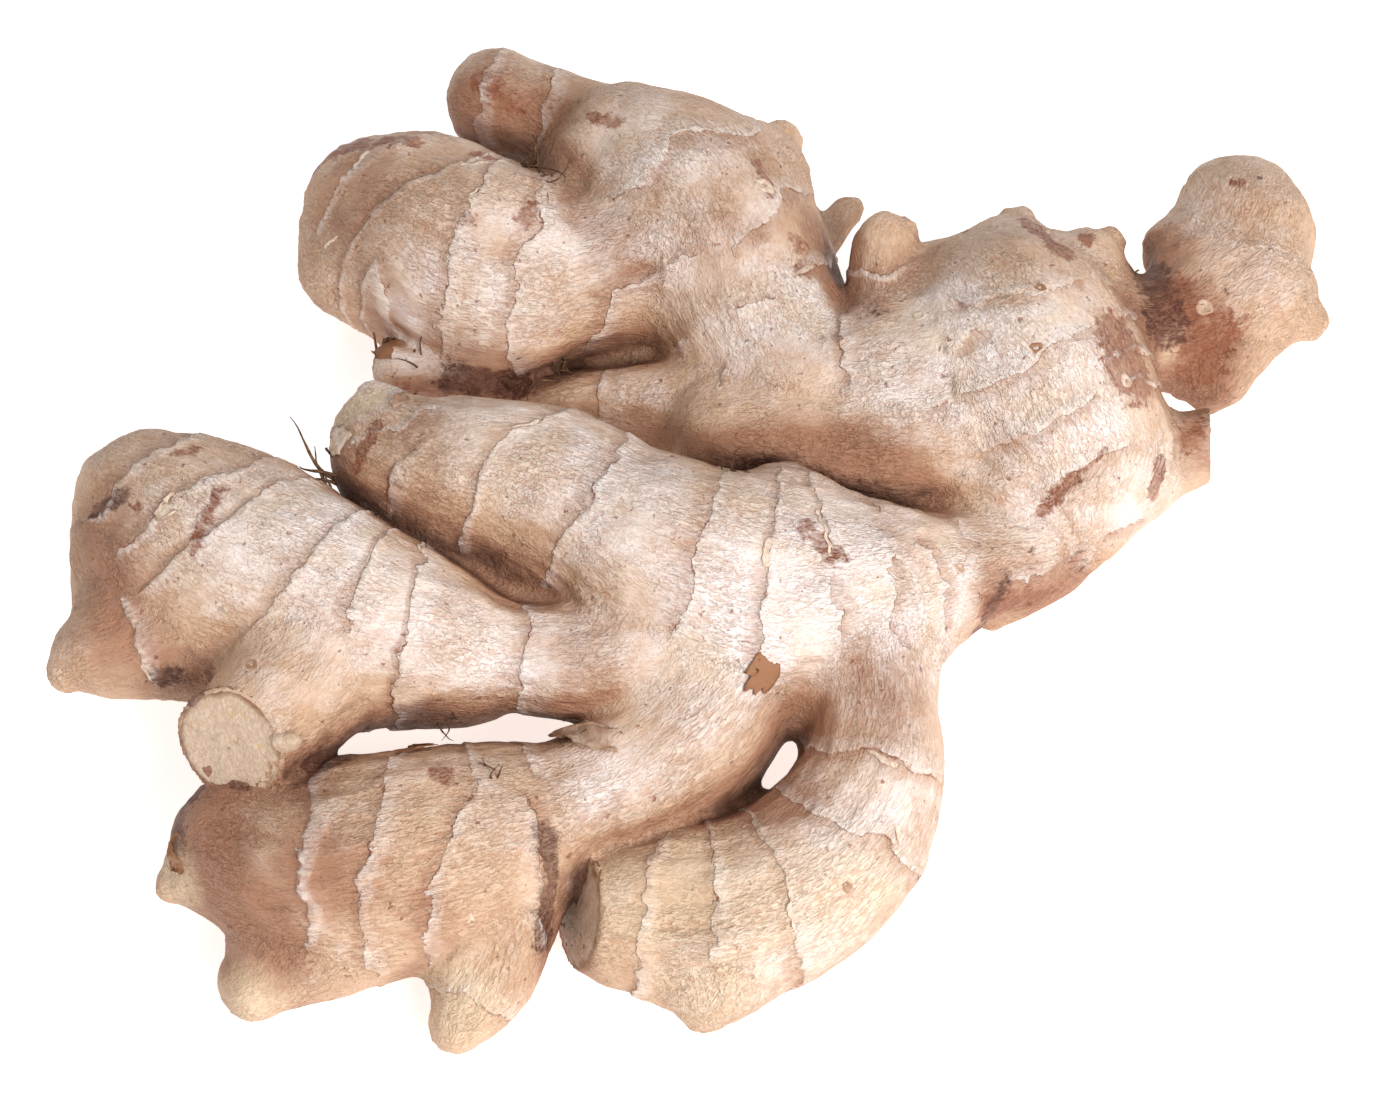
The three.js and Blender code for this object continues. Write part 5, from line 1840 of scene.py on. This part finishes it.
@dataclass(frozen=True)
class HuskFinish:
    """Dry papery leaf remains: pale, with brown torn lips."""

    paper: Colour = tone(208, 180, 154)
    pale: Colour = tone(230, 213, 198)
    brown: Colour = tone(150, 104, 72)
    lip: Colour = tone(132, 82, 56)
    roughness: float = 0.6
    specular: float = 0.3

    def build(self, effects: Effects) -> Material:
        """Makes the material. Args: effects: the shared groups. Returns: the material."""
        material, bench, shader = new_material("dry leaf")
        lip, tint, _ = bench.attribute("leaf")
        fibre = bench.group(effects.fibre, pitch=0.5, stretch=2.0)
        drift = bench.noise(bench.place(), 0.4, 3.0, 0.6)
        colour = bench.mix(fibre.outputs["Strand"], self.paper, self.pale)
        browned = bench.fused(tint, 1.3, bench.less(drift, 0.8))
        colour = bench.mix(bench.rise(browned, 0.0, 0.8), colour, self.brown)
        edge = bench.rise(bench.fused(drift, 0.4, lip), 1.0, 1.25)
        colour = bench.tinted(colour, edge, 0.7, self.lip)
        height = bench.times(fibre.outputs["Height"], 0.12)
        finish_shader(bench, shader, colour, self.roughness, height, self.specular)
        return material


@dataclass(frozen=True)
class FleshFinish:
    """Bare dried flesh: pale grey-yellow and fibrous, with yellow flecks."""

    flesh: Colour = tone(212, 188, 166)
    fibre: Colour = tone(194, 164, 138)
    fleck: Colour = tone(206, 168, 100)
    rim: Colour = tone(140, 98, 66)
    roughness: float = 0.55
    specular: float = 0.4

    def build(self, effects: Effects) -> Material:
        """Makes the material. Args: effects: the shared groups. Returns: the material."""
        material, bench, shader = new_material("cut flesh")
        out, _, _ = bench.attribute("leaf")
        fibre = bench.group(effects.fibre, pitch=0.45, stretch=1.6)
        place = bench.place()
        colour = bench.mix(fibre.outputs["Strand"], self.fibre, self.flesh)
        flecks = bench.rise(bench.noise(place, 0.9), 0.62, 0.7)
        colour = bench.tinted(colour, flecks, 0.5, self.fleck)
        rim = bench.rise(bench.fused(bench.noise(place, 0.5), 0.2, out), 0.92, 1.08)
        colour = bench.mix(rim, colour, self.rim)
        height = bench.times(fibre.outputs["Height"], 0.25)
        finish_shader(bench, shader, colour, self.roughness, height, self.specular)
        return material


@dataclass(frozen=True)
class RootletFinish:
    """Dry hair roots: dark brown, streaked."""

    dark: Colour = tone(82, 56, 40)
    light: Colour = tone(150, 112, 80)
    roughness: float = 0.7
    specular: float = 0.25

    def build(self, effects: Effects) -> Material:
        """Makes the material. Args: effects: the shared groups. Returns: the material."""
        material, bench, shader = new_material("dry rootlet")
        fibre = bench.group(effects.fibre, pitch=0.4, stretch=1.0)
        drift = bench.noise(bench.place(), 0.3)
        share = bench.times(fibre.outputs["Strand"], bench.rise(drift, 0.4, 0.65))
        colour = bench.mix(share, self.dark, self.light)
        height = bench.times(fibre.outputs["Height"], 0.05)
        finish_shader(bench, shader, colour, self.roughness, height, self.specular)
        return material


@dataclass
class Studio:
    """The plain pale table, the soft lights and the camera, in metres and degrees."""

    table_side: float = 6.0
    table_tone: Colour = tone(250, 250, 250)
    eye: Point = (-0.00104, -0.32416, 0.56315)
    eye_tilt: float = 30.0
    lens: float = 120.0
    film: float = 36.0
    key_place: Point = (0.62, -0.80, 0.85)
    key_side: float = 0.6
    key_power: float = 17.0
    back_place: Point = (-0.35, 0.55, 1.2)
    back_side: float = 1.0
    back_power: float = 2.0
    sky: float = 0.5
    glow: float = 0.65  # light given off by the table top, as on a light table

    def build(self) -> None:
        """Sets up the table, the lights and the camera."""
        self.lay_table()
        self.add_light("key_light", self.key_place, self.key_side, self.key_power)
        self.add_light("back_light", self.back_place, self.back_side, self.back_power)
        world = bpy.data.worlds.new("soft room")
        world.use_nodes = True
        sky = world.node_tree.nodes["Background"]
        sky.inputs["Color"].default_value = tone(255, 255, 255)
        sky.inputs["Strength"].default_value = self.sky
        bpy.context.scene.world = world
        bpy.context.scene.view_settings.view_transform = "Standard"
        self.add_camera()

    def lay_table(self) -> None:
        """Lays the table top, its upper face at height 0."""
        side = self.table_side / 2
        drop = -0.0001
        square = ((-side, -side), (side, -side), (side, side), (-side, side))
        corners = [(x, y, drop) for x, y in square]
        mesh = make_mesh("table_top", np.array(corners), np.array([[0, 1, 2, 3]]))
        material, bench, shader = new_material("pale table")
        shade = bench.noise(bench.place(), 0.01)
        colour = bench.mix(shade, self.table_tone, tone(247, 247, 248))
        finish_shader(bench, shader, colour, 0.8, bench.times(shade, 0.01), 0.2)
        shader.inputs["Emission Color"].default_value = self.table_tone
        shader.inputs["Emission Strength"].default_value = self.glow
        mesh.materials.append(material)
        place_object(mesh)

    def add_light(self, name: str, place: Point, side: float, power: float) -> None:
        """Hangs one big soft light, aimed at the ginger."""
        light = bpy.data.lights.new(name, "AREA")
        light.shape = "SQUARE"
        light.size = side
        light.energy = power
        lamp = bpy.data.objects.new(name, light)
        lamp.location = place
        lamp.rotation_euler = (-lamp.location).to_track_quat("-Z", "Y").to_euler()
        bpy.context.scene.collection.objects.link(lamp)

    def add_camera(self) -> None:
        """Sets up the camera."""
        camera = bpy.data.cameras.new("camera")
        camera.lens = self.lens
        camera.sensor_width = self.film
        camera.clip_start = 0.05
        stand = bpy.data.objects.new("camera", camera)
        stand.location = self.eye
        stand.rotation_euler = (math.radians(self.eye_tilt), 0.0, 0.0)
        bpy.context.scene.collection.objects.link(stand)
        bpy.context.scene.camera = stand


@dataclass
class Ginger:
    """The whole dressed hand of ginger."""

    hand: Hand = field(default_factory=Hand)
    effects: Effects = field(default_factory=Effects)

    def build(self) -> None:
        """Builds and dresses every piece."""
        skin, knows = Skin(self.hand, VOXEL).build()
        SkinTones().write(skin.data, knows)
        self.dress(skin, SkinFinish().build(self.effects), "skin")
        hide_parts(NODE)
        ground = Ground(skin.data, knows)
        husk = HuskFinish().build(self.effects)
        self.dress(LeafCuffs().build(self.hand, ground), husk, "husk")
        self.dress(LooseScales().build(ground), husk, "husk")
        self.dress(RootScars().build(ground), husk, "husk")
        flesh = FleshFinish().build(self.effects)
        self.dress(CutFaces().build(self.hand), flesh, "flesh")
        self.dress(StubLump().build(), flesh, "flesh")
        self.dress(HairRoots().build(ground), RootletFinish().build(self.effects), "rootlet")

    @staticmethod
    def dress(piece: Object, material: Material, slot: str) -> None:
        """Gives a piece its finish and lets it ride on the root's one body."""
        piece.data.materials.append(material)
        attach(piece, BODY)
        LOG.info("dressed %s with %s", piece.name, material.name)


def main() -> None:
    """Builds the ginger and its studio."""
    logging.basicConfig(level=logging.INFO, format="%(message)s")
    Ginger().build()
    Studio().build()


if __name__ == "__main__":
    main()
